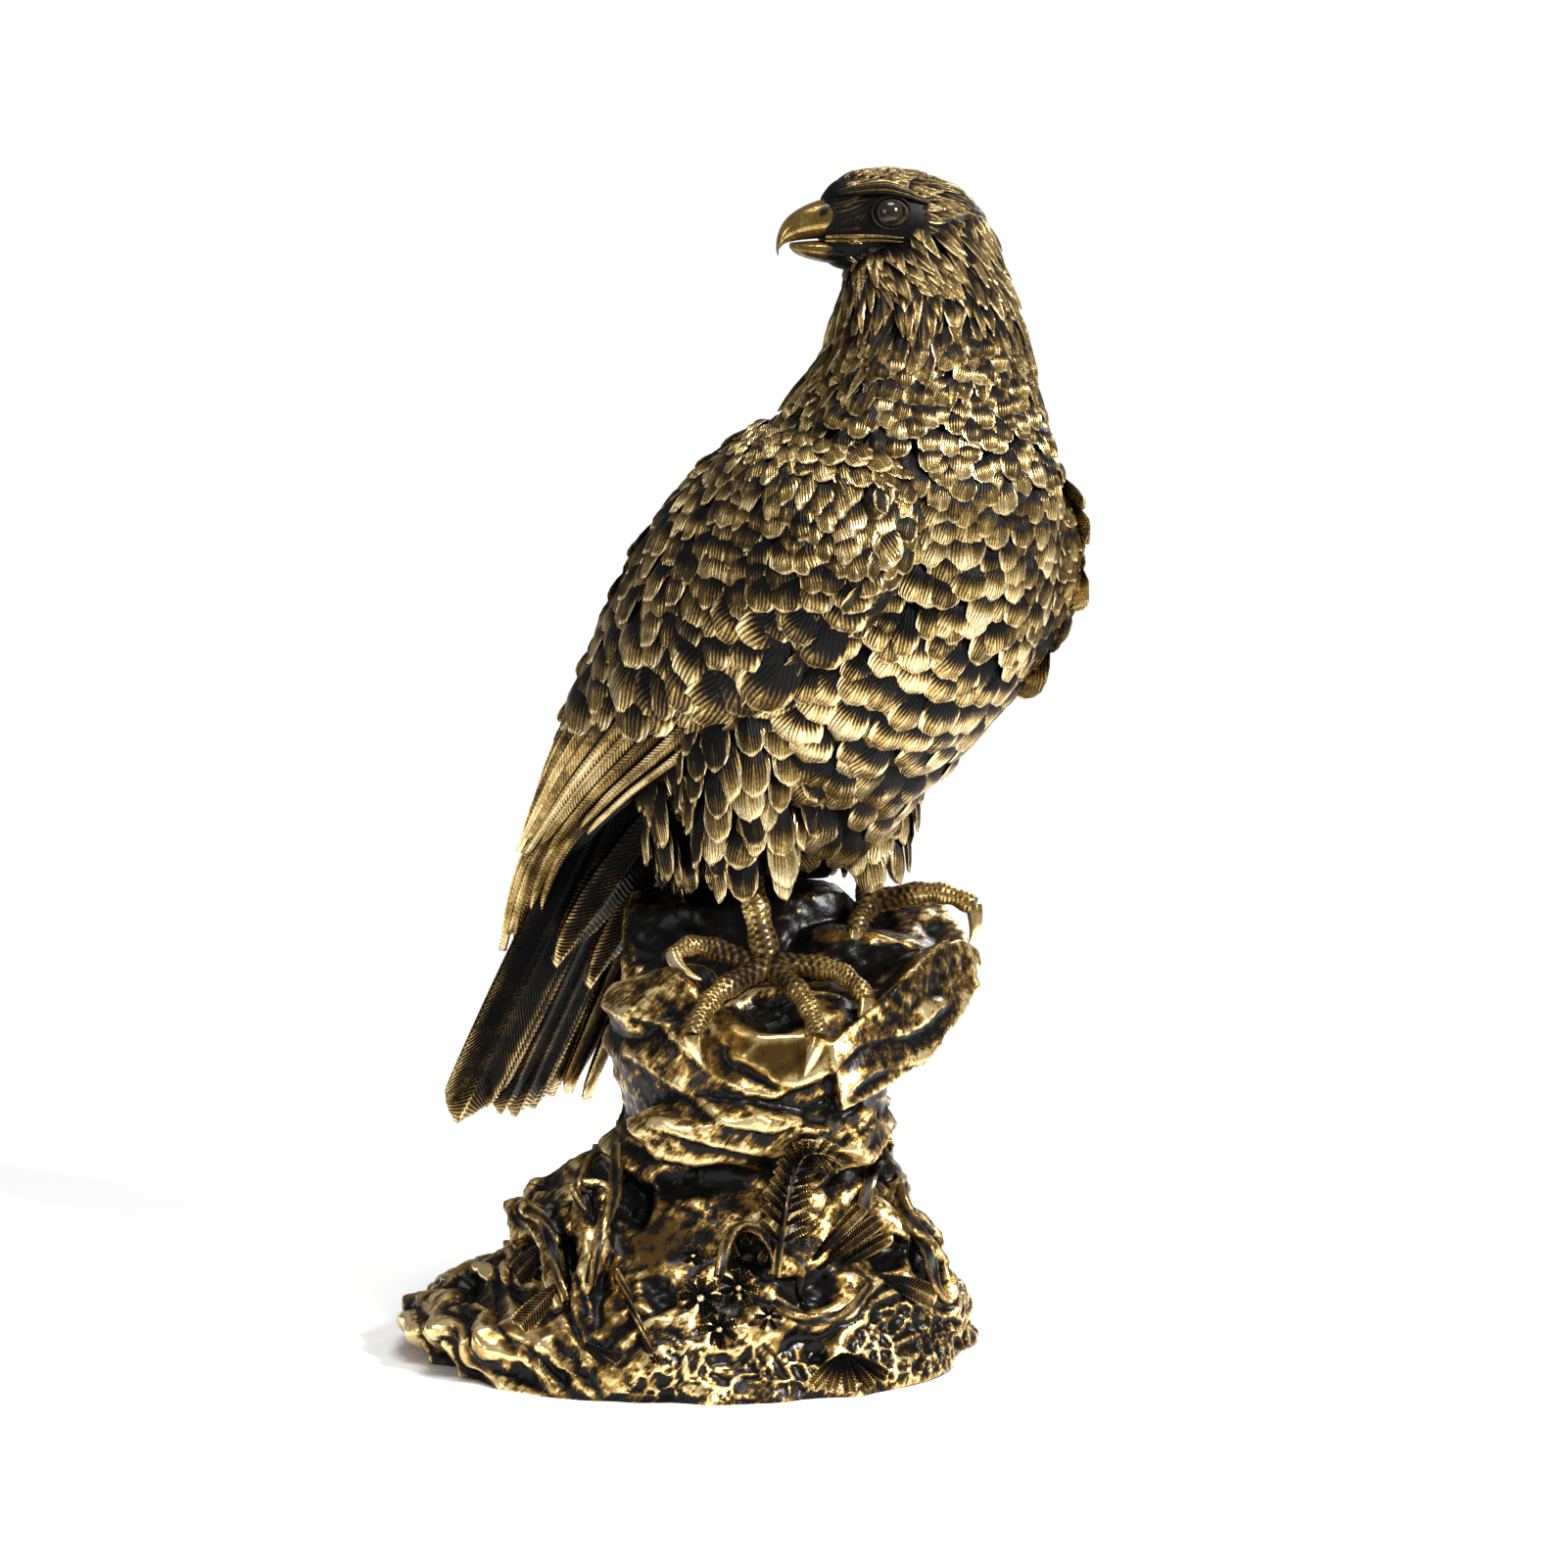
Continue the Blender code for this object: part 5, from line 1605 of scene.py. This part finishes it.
@dataclass
class Rock:
    """The plinth: a spreading foot, a waist and a perch with its tilted ledge, layered and furrowed.

    Each cave has its place across and up on the front, its half sizes and its depth, and each calm patch its
    place and half sizes. Each slice has its height, its left and right ends, and its front and back reach.
    Each boulder has its middle, half sizes and seed.
    """

    voxel: float = 1.06
    caves: tuple = (
        ((-29, 55), (4.5, 7), 4), ((-17, 53), (5.5, 7), 6), ((18, 40), (7.5, 6), 6), ((36, 30), (8, 5), 6),
        ((74, 36), (6.5, 9), 6), ((38, 12), (3.5, 2.5), 2.5), ((24, 111), (13, 6), 7), ((-2, 58), (10, 4), 3),
        ((60, 36), (6, 4), 3), ((52, 118), (14, 9), 1.5), ((-8, 30), (5, 4), 3), ((8, 62), (9, 3), 3),
        ((14, 124), (26, 10), 0), ((-44, 52), (5, 4), 3), ((-66, 22), (5, 3), 2))
    calm: tuple = (((32, 16), (16, 6)), ((-48, 20), (16, 9)), ((-8, 42), (10, 7)), ((44, 24), (9, 3)))
    slices: Profile = field(default_factory=lambda: Profile((
        (-10, -83, 86, -78, 74), (3, -84, 86, -78, 74), (11, -86, 83, -77, 73), (17, -82, 83, -74, 71),
        (23, -67, 83, -70, 68), (30, -58, 80, -64, 62), (37, -54, 72, -58, 57), (43, -53, 67, -53, 54),
        (49, -49, 66, -49, 51), (55, -40, 64, -46, 48), (62, -30, 63, -44, 46), (70, -22, 61, -43, 44),
        (78, -23, 60, -44, 43), (88, -25, 66, -46, 45), (98, -24, 74, -42, 47), (108, -20, 80, -34, 46),
        (114, -10, 74, -24, 42))))
    ledge_rim: tuple = (
        (43, -45, 101), (64, -25, 118), (78, 0, 127), (86, 14, 125), (83, 34, 129), (77, 45, 136),
        (58, 50, 136), (36, 44, 126), (30, 5, 112))
    ledge_foot: tuple = (
        (46, -50, 81), (67, -26, 89), (81, -4, 100), (90, 10, 110), (86, 30, 104), (74, 42, 96),
        (52, 46, 90), (28, 40, 88), (24, 0, 84))
    boulders: tuple = (
        ((26, -24, 99), (29, 25, 16), 11), ((-6, -8, 106), (20, 24, 14), 3),
        ((20, 38, 118), (48, 26, 27), 5), ((48, 30, 112), (40, 26, 20), 8),
        ((12, -40, 74), (31, 16, 13), 34), ((40, -34, 72), (22, 18, 11), 13),
        ((-36, -12, 42), (20, 26, 13), 21), ((14, 36, 58), (34, 22, 30), 55))
    roots: tuple = (
        ((-30, -36, 56), (-26, -48, 43), (-34, -60, 26), (-26, -68, 14)),
        ((-52, -20, 46), (-47, -36, 48), (-40, -44, 38), (-38, -56, 22)),
        ((50, -26, 50), (62, -30, 42), (69, -26, 38), (79, -24, 26), (79, -26, 10)),
        ((14, -50, 32), (22, -59, 39), (33, -58, 34), (39, -62, 18)),
        ((-74, -22, 16), (-62, -44, 16), (-43, -62, 12), (-18, -74, 7)),
        ((-78, 8, 14), (-60, -16, 28), (-44, -38, 24), (-20, -66, 14)),
        ((26, 54, 34), (43, 48, 41), (60, 40, 32), (74, 24, 18)),
        ((-26, 54, 38), (-43, 51, 30), (-60, 43, 18), (-74, 31, 9)),
        ((26, -54, 24), (24, -56, 44), (31, -52, 57), (40, -48, 55)),
    )
    root_radius: float = 4.2

    def mass(self) -> Carving:
        """The solid forms that the stone is worked from."""
        shape = Carving()
        rows, sides = 56, 96
        rings = np.empty((rows + 1, sides, 3))
        for i in range(rows + 1):
            high = -10 + 124 * i / rows
            left, right, front, back = self.slices.at(high)
            for k in range(sides):
                angle = 2 * math.pi * k / sides
                x = (right - left) / 2 * math.cos(angle) + (left + right) / 2
                y = (back - front) / 2 * math.sin(angle) + (front + back) / 2
                ridge = 1 - 2 * abs(noise.noise(Vector((x, y, 0.8 * high + 0.25 * x)) * 0.042))
                layer = noise.noise(Vector((0.013 * x, 0.013 * y, 0.08 * (high - 0.25 * x))))
                swell = 0.965 + 0.07 * ridge + 0.06 * layer
                middle = (left + right) / 2
                rings[i, k] = (middle + (x - middle) * swell, y * swell, high)
        shape.loft(rings)
        rim, foot = np.array(self.ledge_rim, float), np.array(self.ledge_foot, float)
        hollow = rim + (rim.mean(axis=0) - (0, 0, 5) - rim) * 0.45
        under = (foot + np.array((30, 0, 74))) / 2
        shape.loft(np.stack([under, foot, rim, hollow]))
        for middle, half_sizes, seed in self.boulders:
            self.boulder(shape, middle, half_sizes, seed)
        for path in self.roots:
            taper = [self.root_radius * (1.25 - 0.5 * k / len(path)) for k in range(len(path))]
            shape.tube(bend(path, 20), bend(np.array(taper)[:, None], 20)[:, 0], 12)
        return shape

    def boulder(self, shape: Carving, middle: Point, half_sizes: Point, seed: int) -> None:
        """A stone with flat broken faces: a ball cut back to a set of chance planes."""
        chance = random.Random(seed)
        cuts = []
        for _ in range(16):
            direction = Vector((chance.gauss(0, 1), chance.gauss(0, 1), chance.gauss(0, 1))).normalized()
            cuts.append((np.array(direction), chance.uniform(0.72, 0.98)))
        ball = bmesh.new()
        bmesh.ops.create_icosphere(ball, subdivisions=4, radius=1)
        points = np.array([vert.co for vert in ball.verts])
        faces = [[vert.index for vert in face.verts] for face in ball.faces]
        ball.free()
        reach = np.min([depth / np.maximum(points @ way, 0.25) for way, depth in cuts], axis=0)
        points = points * np.minimum(reach, 1.15)[:, None]
        shape.add(points * np.array(half_sizes) + np.array(middle), faces)

    def cast(self) -> bpy.types.Object:
        """The forms merged in one closed skin with a flat underside."""
        obj = self.mass().make("rock_plinth")
        cast = obj.modifiers.new("cast", "REMESH")
        cast.mode = "VOXEL"
        cast.voxel_size = self.voxel * UNIT
        mesh = plain_mesh(obj)
        obj.modifiers.clear()
        bm = bmesh.new()
        bm.from_mesh(mesh)
        keep_outer(bm)
        everything = bm.verts[:] + bm.edges[:] + bm.faces[:]
        cut = bmesh.ops.bisect_plane(
            bm, geom=everything, dist=1e-7, plane_co=(0, 0, 0), plane_no=(0, 0, -1), clear_outer=True)
        rim = [item for item in cut["geom_cut"] if isinstance(item, bmesh.types.BMEdge)]
        bmesh.ops.holes_fill(bm, edges=rim, sides=0)
        bm.to_mesh(mesh)
        bm.free()
        obj.data = mesh
        return obj

    def carve(self, place: Array, out: Array) -> tuple[Array, Array, Array]:
        """How far each point moves out, how smoothly it was poured, and how far it is darkened.

        Args:
            place: the points, in units.
            out: their normals.

        Returns:
            The moves in units, the polish from 0 to 1, and the darkening from 0 to about 1: painted shade
            behind the bird's legs, and darker in the caves.
        """
        x, y, z = place.T
        moves, polish = np.empty(len(place)), np.empty(len(place))
        strata = smooth(46, 58, z) * (1 - smooth(100, 112, z))
        skirt = 1 - smooth(24, 40, z)
        left = 1 - smooth(-42, -4, x)
        front = 1 - smooth(-10, 30, y)
        for i, point in enumerate(place):
            spot = Vector(point)
            warp = noise.noise(spot * 0.03)
            broad = noise.fractal(spot * 0.06, 1.0, 2.0, 3)
            grain = noise.fractal(spot * 0.22, 0.9, 2.1, 3)
            layer = (z[i] - 0.33 * abs(x[i] - 25) + 9 * warp) / 11.0
            share = layer % 1.0
            lip = 2.6 * (1 - share) ** 1.4 - 2.6 * math.exp(-((share / 0.10) ** 2)) - 0.9
            lip *= min(1.25, max(0.25, 0.8 + 1.6 * broad))
            size = 0.11 + 0.05 * warp
            cell = Vector((x[i] * size, y[i] * size, z[i] * 0.19)) + Vector((warp, broad, 0)) * 0.8
            spaces, _ = noise.voronoi(cell)
            vein = math.exp(-(((spaces[1] - spaces[0]) / 0.13) ** 2))
            fold = math.sin((0.8 * x[i] + 1.25 * z[i] + 26 * warp + 9 * broad) * 2 * math.pi / 19)
            flow = math.sin((1.2 * z[i] - 0.25 * x[i] + 11 * warp + 7 * broad) * 2 * math.pi / 9)
            low = 1 - smooth(12, 24, z[i] + 14 * warp)
            cells = ((1.3 * vein - 0.5) * low + 0.9 * flow * (1 - low)) * skirt[i] * (1 - left[i])
            folds = (1.5 * fold * abs(fold) + 1.2 * broad) * left[i] * (1 - smooth(46, 60, z[i]))
            moves[i] = strata[i] * lip + cells + folds + 0.9 * broad + 0.45 * grain * (1 - 0.7 * left[i])
            polish[i] = max(left[i] * skirt[i] * smooth(-0.2, 0.5, fold) * front[i], 0.0)
        boulder = np.exp(-apart(place, (24, -46, 100), (24, 18, 12)))
        ledge = np.exp(-apart(place, (58, -8, 116), (22, 26, 14))) * smooth(0.1, 0.5, out[:, 2])
        polish = polish + 1.2 * boulder + 1.3 * ledge
        facing = smooth(0.2, -0.4, out[:, 1])
        front_view = place[:, [0, 2]]
        for middle, half_sizes in self.calm:
            spot = np.exp(-(apart(front_view, middle, half_sizes) ** 2)) * facing
            polish = polish + spot
            moves = moves * (1 - 0.7 * spot)
        polish = np.clip(polish, 0, 1)
        moves = moves * (1 - 0.75 * np.clip(1.2 * boulder + ledge, 0, 1))
        # Painted shade on the rock's top behind and under the bird's legs.
        painted_shade_and_cave_dark = 1.2 * np.exp(-(apart(place, (18, 34, 130), (38, 28, 22)) ** 2))
        for middle, half_sizes, depth in self.caves:
            spot = np.exp(-(apart(front_view, middle, half_sizes) ** 2)) * facing
            moves = moves - depth * spot
            painted_shade_and_cave_dark = np.maximum(painted_shade_and_cave_dark, spot)
        return moves * smooth(0, 4, z), polish, painted_shade_and_cave_dark

    def make(self) -> bpy.types.Object:
        """Builds and dresses the stone."""
        obj = self.cast()
        mesh = obj.data
        mesh.name = "rock_plinth"
        count = len(mesh.vertices)
        flat = np.empty(count * 3)
        mesh.vertices.foreach_get("co", flat)
        place = flat.reshape(-1, 3) / UNIT
        mesh.vertex_normals.foreach_get("vector", flat)
        out = flat.reshape(-1, 3).copy()
        out[:, 2] *= place[:, 2] > 0.2
        moves, polish, painted_shade_and_cave_dark = self.carve(place, out)
        place = place + out * moves[:, None]
        place[:, 2] = np.maximum(place[:, 2], 0)
        mesh.vertices.foreach_set("co", (place * UNIT).ravel())
        # Gold on raised edges and black in hollows, less the painted shade behind the legs and the darkening
        # in the caves.
        wear_and_painted_shade = np.clip(hollows(mesh, place, out) - 0.75 * painted_shade_and_cave_dark, 0, 1)
        store(mesh, "wear_and_painted_shade", wear_and_painted_shade)
        store(mesh, "polish", polish)
        mesh.shade_smooth()
        mesh.update()
        finish_piece(obj, GoldOverStone().material())
        return obj


@dataclass
class Growth:
    """Vines, a fern, leaves and flowers that creep over the front of the stone.

    Places are x, z and how far the form stands off the stone's face towards the viewer. Each vine has its
    places and its radii at root and tip, each leaf its base, tip and width, and each flower its place, reach
    and count of petals.
    """

    vines: tuple = (
        (((-22, 65, 0), (-21.5, 55, 3), (-25, 48, 3.5), (-27, 41, 3), (-29, 32, 0)), 2.3, 1.5),
        (((-21.5, 58, 2), (-28, 63, 4), (-34, 60, 4), (-34.5, 54, 3), (-31, 50, 1)), 1.9, 1.1),
        (((-21, 34, 1), (-16, 26, 3), (-10, 15, 1)), 1.1, 0.8),
        (((9, 34, 0), (11, 44, 2), (18, 48, 3), (25, 44, 2), (27, 34, 0)), 1.7, 1.4),
        (((26, 27, 0), (32, 23, 2.5), (40, 21.5, 3), (48, 23, 2.5), (54, 29, 0)), 2.1, 1.4),
        (((52, 49, 0), (55, 60, 3), (61, 64, 4), (67, 60, 4), (66, 54, 3), (60, 54, 1)), 2.2, 1.0),
        (((64, 51, 0), (75, 48, 3), (80, 41, 3), (81, 31, 2), (78, 20, 0)), 2.6, 1.8),
        (((-48, 56, 0), (-42, 46, 2.5), (-40, 36, 2.5), (-36, 26, 0)), 2.4, 1.2),
    )
    leaves: tuple = (
        ((38, 34), (58, 46), 5.5), ((40, 31.5), (61, 40), 5), ((37, 37), (53, 50), 5),
        ((63, 28), (84, 11), 13), ((56, 31), (74, 22), 8), ((-40, 42), (-52, 28), 9),
        ((-37, 31), (-50, 18), 8), ((46, 12), (36, 3), 4.5), ((46, 12), (42, 1.5), 4.5),
        ((46, 12), (48, 1), 4.5), ((46, 12), (54, 1.5), 4.5), ((46, 12), (59, 4), 4.5),
        ((11.5, 45), (14, 38), 3), ((15, 47.5), (17, 41), 3), ((20.5, 48), (20, 41), 3),
        ((25, 45), (22, 38), 3), ((-30, 16), (-14, 6), 7), ((58, 62), (70, 70), 6),
    )
    flowers: tuple = (
        (4, 29, 7.0, 8), (15, 31, 6.2, 7), (9.5, 20.5, 5.8, 7), (1.5, 39, 4.0, 6), (-9, 13.5, 1.8, 5),
        (24, 24, 4.2, 6))
    fern: tuple = ((26, 35, 1), (28, 47, 3), (30, 57, 4), (33, 66, 5), (40, 69, 5), (46, 64, 4))
    fronds: int = 14
    face: BVHTree = field(init=False)

    def make(self, stone: bpy.types.Object) -> None:
        """Builds and dresses the growth on the stone.

        Args:
            stone: the finished stone, which every form is seated on.
        """
        points = [vert.co / UNIT for vert in stone.data.vertices]
        self.face = BVHTree.FromPolygons(points, [tuple(face.vertices) for face in stone.data.polygons])
        shape = Carving()
        for places, root, tip in self.vines:
            self.vine(shape, self.seated(places, 34), root, tip)
        for base, tip, width in self.leaves:
            self.leaf(shape, self.seat(*base), self.seat(*tip), width, 1.5)
        for x, z, reach, petals in self.flowers:
            self.flower(shape, self.seat(x, z), reach, petals)
        self.frond(shape)
        finish = GoldOverBlack("gold_growth", bare=-0.2, full=1.0, groove=0.5, hair_depth=0.0, rim=0.4,
                               patch=1.2, base=0.04, shine=0.2)
        finish_piece(shape.make("creeping_growth", 50), finish.material())

    def seat(self, x: float, z: float, lift: float = 0.0) -> Array:
        """The place on the stone's front face at x and z, moved towards the viewer by lift."""
        hit = self.face.ray_cast(Vector((x, -200, z)), Vector((0, 1, 0)))[0]
        if hit is None or hit.y > 0:
            hit = self.face.find_nearest(Vector((x, -40, z)))[0]
        return np.array(hit) + np.array((0, -lift, 0.3 * lift))

    def seated(self, places: Rows, count: int) -> Array:
        """A smooth path through seated places."""
        return bend([self.seat(*place) for place in places], count)

    def vine(self, shape: Carving, path: Array, root: float, tip: float) -> None:
        """A twisted stem that tapers from root to tip."""
        sides = 14
        share = np.linspace(0, 1, len(path))[:, None]
        angle = np.linspace(0, 2 * math.pi, sides, endpoint=False)[None, :]
        strand = np.sin(3 * angle + 14 * share)
        radii = (root + (tip - root) * share) * (1 + 0.16 * strand)
        vane = triples(0.7, 0.5, (0.5 + 0.5 * strand).ravel())
        shape.tube(path, radii, sides, vane=vane, tone=0.65)

    def leaf(self, shape: Carving, base: Array, tip: Array, width: float, rise: float,
             tone: float = 0.55) -> None:
        """A veined leaf from base to tip, arched off the stone."""
        along = unit_of(tip - base)
        out = np.array((0.0, -1.0, 0.45))
        across = unit_of(np.cross(out, along))
        out = np.cross(along, across)
        length = float(np.linalg.norm(tip - base))

        def spine(u: Array) -> tuple:
            """Middle, across and out of the leaf at shares of its length."""
            middle = base + (tip - base) * u[:, None] + out * (0.4 + rise * np.sin(math.pi * u))[:, None]
            return middle, np.broadcast_to(across, middle.shape), np.broadcast_to(out, middle.shape)

        vane = Vane(FeatherCut.LONG, pitch=max(0.9, width / 7), ridge=0.16, crown=0.12 * width, shaft=0.3,
                    shingle=0.0, slant=0.9)
        vane.carve(shape, spine, length, width, tone, lambda u: 0 * u)

    def flower(self, shape: Carving, middle: Array, reach: float, petals: int) -> None:
        """A star of petals round a bead."""
        for k in range(petals):
            angle = 2 * math.pi * k / petals + reach
            tip = middle + reach * np.array((math.cos(angle), -0.25, math.sin(angle)))
            self.leaf(shape, middle, tip, 0.45 * reach, 0.22 * reach, 0.1)
        dome = np.linspace(0, math.pi, 8)
        rise = np.outer(1 - np.cos(dome), (0, -0.17 * reach, 0.04 * reach))
        path = middle + rise - np.array((0, 0.1 * reach, 0))
        shape.tube(path, 0.02 + 0.19 * reach * np.sin(dome), 10, tone=0.9)

    def frond(self, shape: Carving) -> None:
        """The fern: a stem with leaflets down both sides, curled over at its tip."""
        path = self.seated(self.fern, 60)
        self.vine(shape, path, 1.3, 0.6)
        for k in range(self.fronds):
            i = round(6 + 50 * k / (self.fronds - 1))
            along = unit_of(path[i + 1] - path[i - 1])
            across = unit_of(np.cross(along, (0.0, -1.0, 0.0)))
            for side in (-1, 1):
                reach = 9.0 - 5.0 * k / self.fronds
                self.leaf(shape, path[i], path[i] + (0.75 * along + side * across) * reach * 0.8, 2.6, 0.8)


def keep_outer(bm: bmesh.types.BMesh) -> None:
    """Deletes every part of a mesh but the largest that hangs together by edges."""
    left = set(bm.faces)
    keep: set = set()
    while left:
        front = [left.pop()]
        island = set(front)
        while front:
            for edge in front.pop().edges:
                for face in edge.link_faces:
                    if face in left:
                        left.remove(face)
                        island.add(face)
                        front.append(face)
        keep = max(keep, island, key=len)
    bmesh.ops.delete(bm, geom=[face for face in bm.faces if face not in keep], context="FACES")


def apart(place: Array, middle: Sequence[float], reach: Sequence[float]) -> Array:
    """Squared distances of places from a middle, with its reach along each axis as one."""
    return (((place - middle) / reach) ** 2).sum(axis=1)


def hollows(mesh: bpy.types.Mesh, place: Array, out: Array) -> Array:
    """How far each vertex stands proud of its surroundings, from 0 in a hollow to 1 on an edge."""
    edges = np.empty(len(mesh.edges) * 2, int)
    mesh.edges.foreach_get("vertices", edges)
    a, b = edges.reshape(-1, 2).T
    count = len(place)
    degree = np.maximum(np.bincount(a, minlength=count) + np.bincount(b, minlength=count), 1)
    soft = place.copy()
    score = np.full(count, 0.5)
    weights = {3: 0.9, 10: 0.42, 24: 0.18}
    for turn in range(1, max(weights) + 1):
        total = np.stack([
            np.bincount(a, soft[b, k], count) + np.bincount(b, soft[a, k], count) for k in range(3)], axis=1)
        soft = total / degree[:, None]
        if turn in weights:
            score += np.sum((place - soft) * out, axis=1) * weights[turn]
    return np.clip(score, 0, 1)


@dataclass
class Studio:
    """Pale floor, white surroundings, soft lights from the right and above, and the camera."""

    lens: float = 92.6
    eye: Point = (0.0285, -1.2348, 0.2828)
    aim: Point = (0.0285, 0.0, 0.1748)
    lit: Point = (0.02, 0.0, 0.16)
    fade: tuple[float, float] = (0.35, 0.8)

    def light(self, name: str, place: Point, size: float, watts: float) -> None:
        """One square soft light, turned to the statue."""
        lamp = bpy.data.lights.new(name, "AREA")
        lamp.size = size
        lamp.energy = watts
        obj = bpy.data.objects.new(name, lamp)
        obj.location = place
        obj.rotation_euler = (Vector(self.lit) - Vector(place)).to_track_quat("-Z", "Y").to_euler()
        bpy.context.scene.collection.objects.link(obj)

    def world(self) -> None:
        """White to the eye, and dimmer as a light."""
        world = bpy.data.worlds.new("studio")
        world.use_nodes = True
        nodes, links = world.node_tree.nodes, world.node_tree.links
        seen = nodes.new("ShaderNodeLightPath")
        level = nodes.new("ShaderNodeMapRange")
        level.inputs["To Min"].default_value = 0.20
        level.inputs["To Max"].default_value = 1.0
        links.new(seen.outputs["Is Camera Ray"], level.inputs["Value"])
        links.new(level.outputs["Result"], nodes["Background"].inputs["Strength"])
        nodes["Background"].inputs["Color"].default_value = (1, 1, 1, 1)
        bpy.context.scene.world = world

    def make(self) -> None:
        """Builds the studio."""
        scene = bpy.context.scene
        bpy.ops.mesh.primitive_plane_add(size=12)
        floor = bpy.context.object
        floor.name = "floor"
        bench = Bench("pale_floor")
        grain = bench.noise(30.0)
        stops = ((0.0, (0.9, 0.9, 0.9)), (1.0, (0.92, 0.92, 0.92)))
        bench.feed(bench.shader, "Base Color", bench.ramp(grain, stops))
        bench.shader.inputs["Roughness"].default_value = 0.8
        place = bench.node("ShaderNodeTexCoord").outputs["Object"]
        reach = bench.wire(bench.node("ShaderNodeVectorMath", {"operation": "LENGTH"}, {0: place}), "Value")
        clear = bench.node("ShaderNodeBsdfTransparent")
        blend = bench.node("ShaderNodeMixShader", None, {
            0: reach.step(*self.fade), 1: bench.shader.outputs[0], 2: clear.outputs[0]})
        bench.tree.links.new(blend.outputs[0], bench.tree.nodes["Material Output"].inputs["Surface"])
        floor.data.materials.append(bench.material)
        self.world()
        self.light("key", (1.15, -0.95, 1.05), 0.4, 60.0)
        self.light("fill", (-1.3, -1.1, 0.7), 0.8, 7.0)
        self.light("top", (0.1, -0.2, 1.7), 0.8, 20.0)
        self.light("rim", (0.6, 1.2, 1.1), 0.6, 12.0)
        camera = bpy.data.objects.new("camera", bpy.data.cameras.new("camera"))
        camera.data.lens = self.lens
        camera.data.sensor_width = 36.0
        camera.location = self.eye
        camera.rotation_euler = (Vector(self.aim) - Vector(self.eye)).to_track_quat("-Z", "Y").to_euler()
        scene.collection.objects.link(camera)
        scene.camera = camera
        scene.view_settings.view_transform = "Standard"


def main() -> None:
    """Builds the statue's pieces in order, then the studio."""
    logging.basicConfig(level=logging.INFO, format="%(message)s")
    chance = random.Random(SEED)
    tree = feather_tree()
    Body(tree, chance).make()
    Neck(tree, chance).make()
    for side in (-1, 1):
        Wing(tree, chance, side).make()
    Tail(chance).make()
    Head(tree, chance).make()
    Feet().make()
    Growth().make(Rock().make())
    Studio().make()


if __name__ == "__main__":
    main()
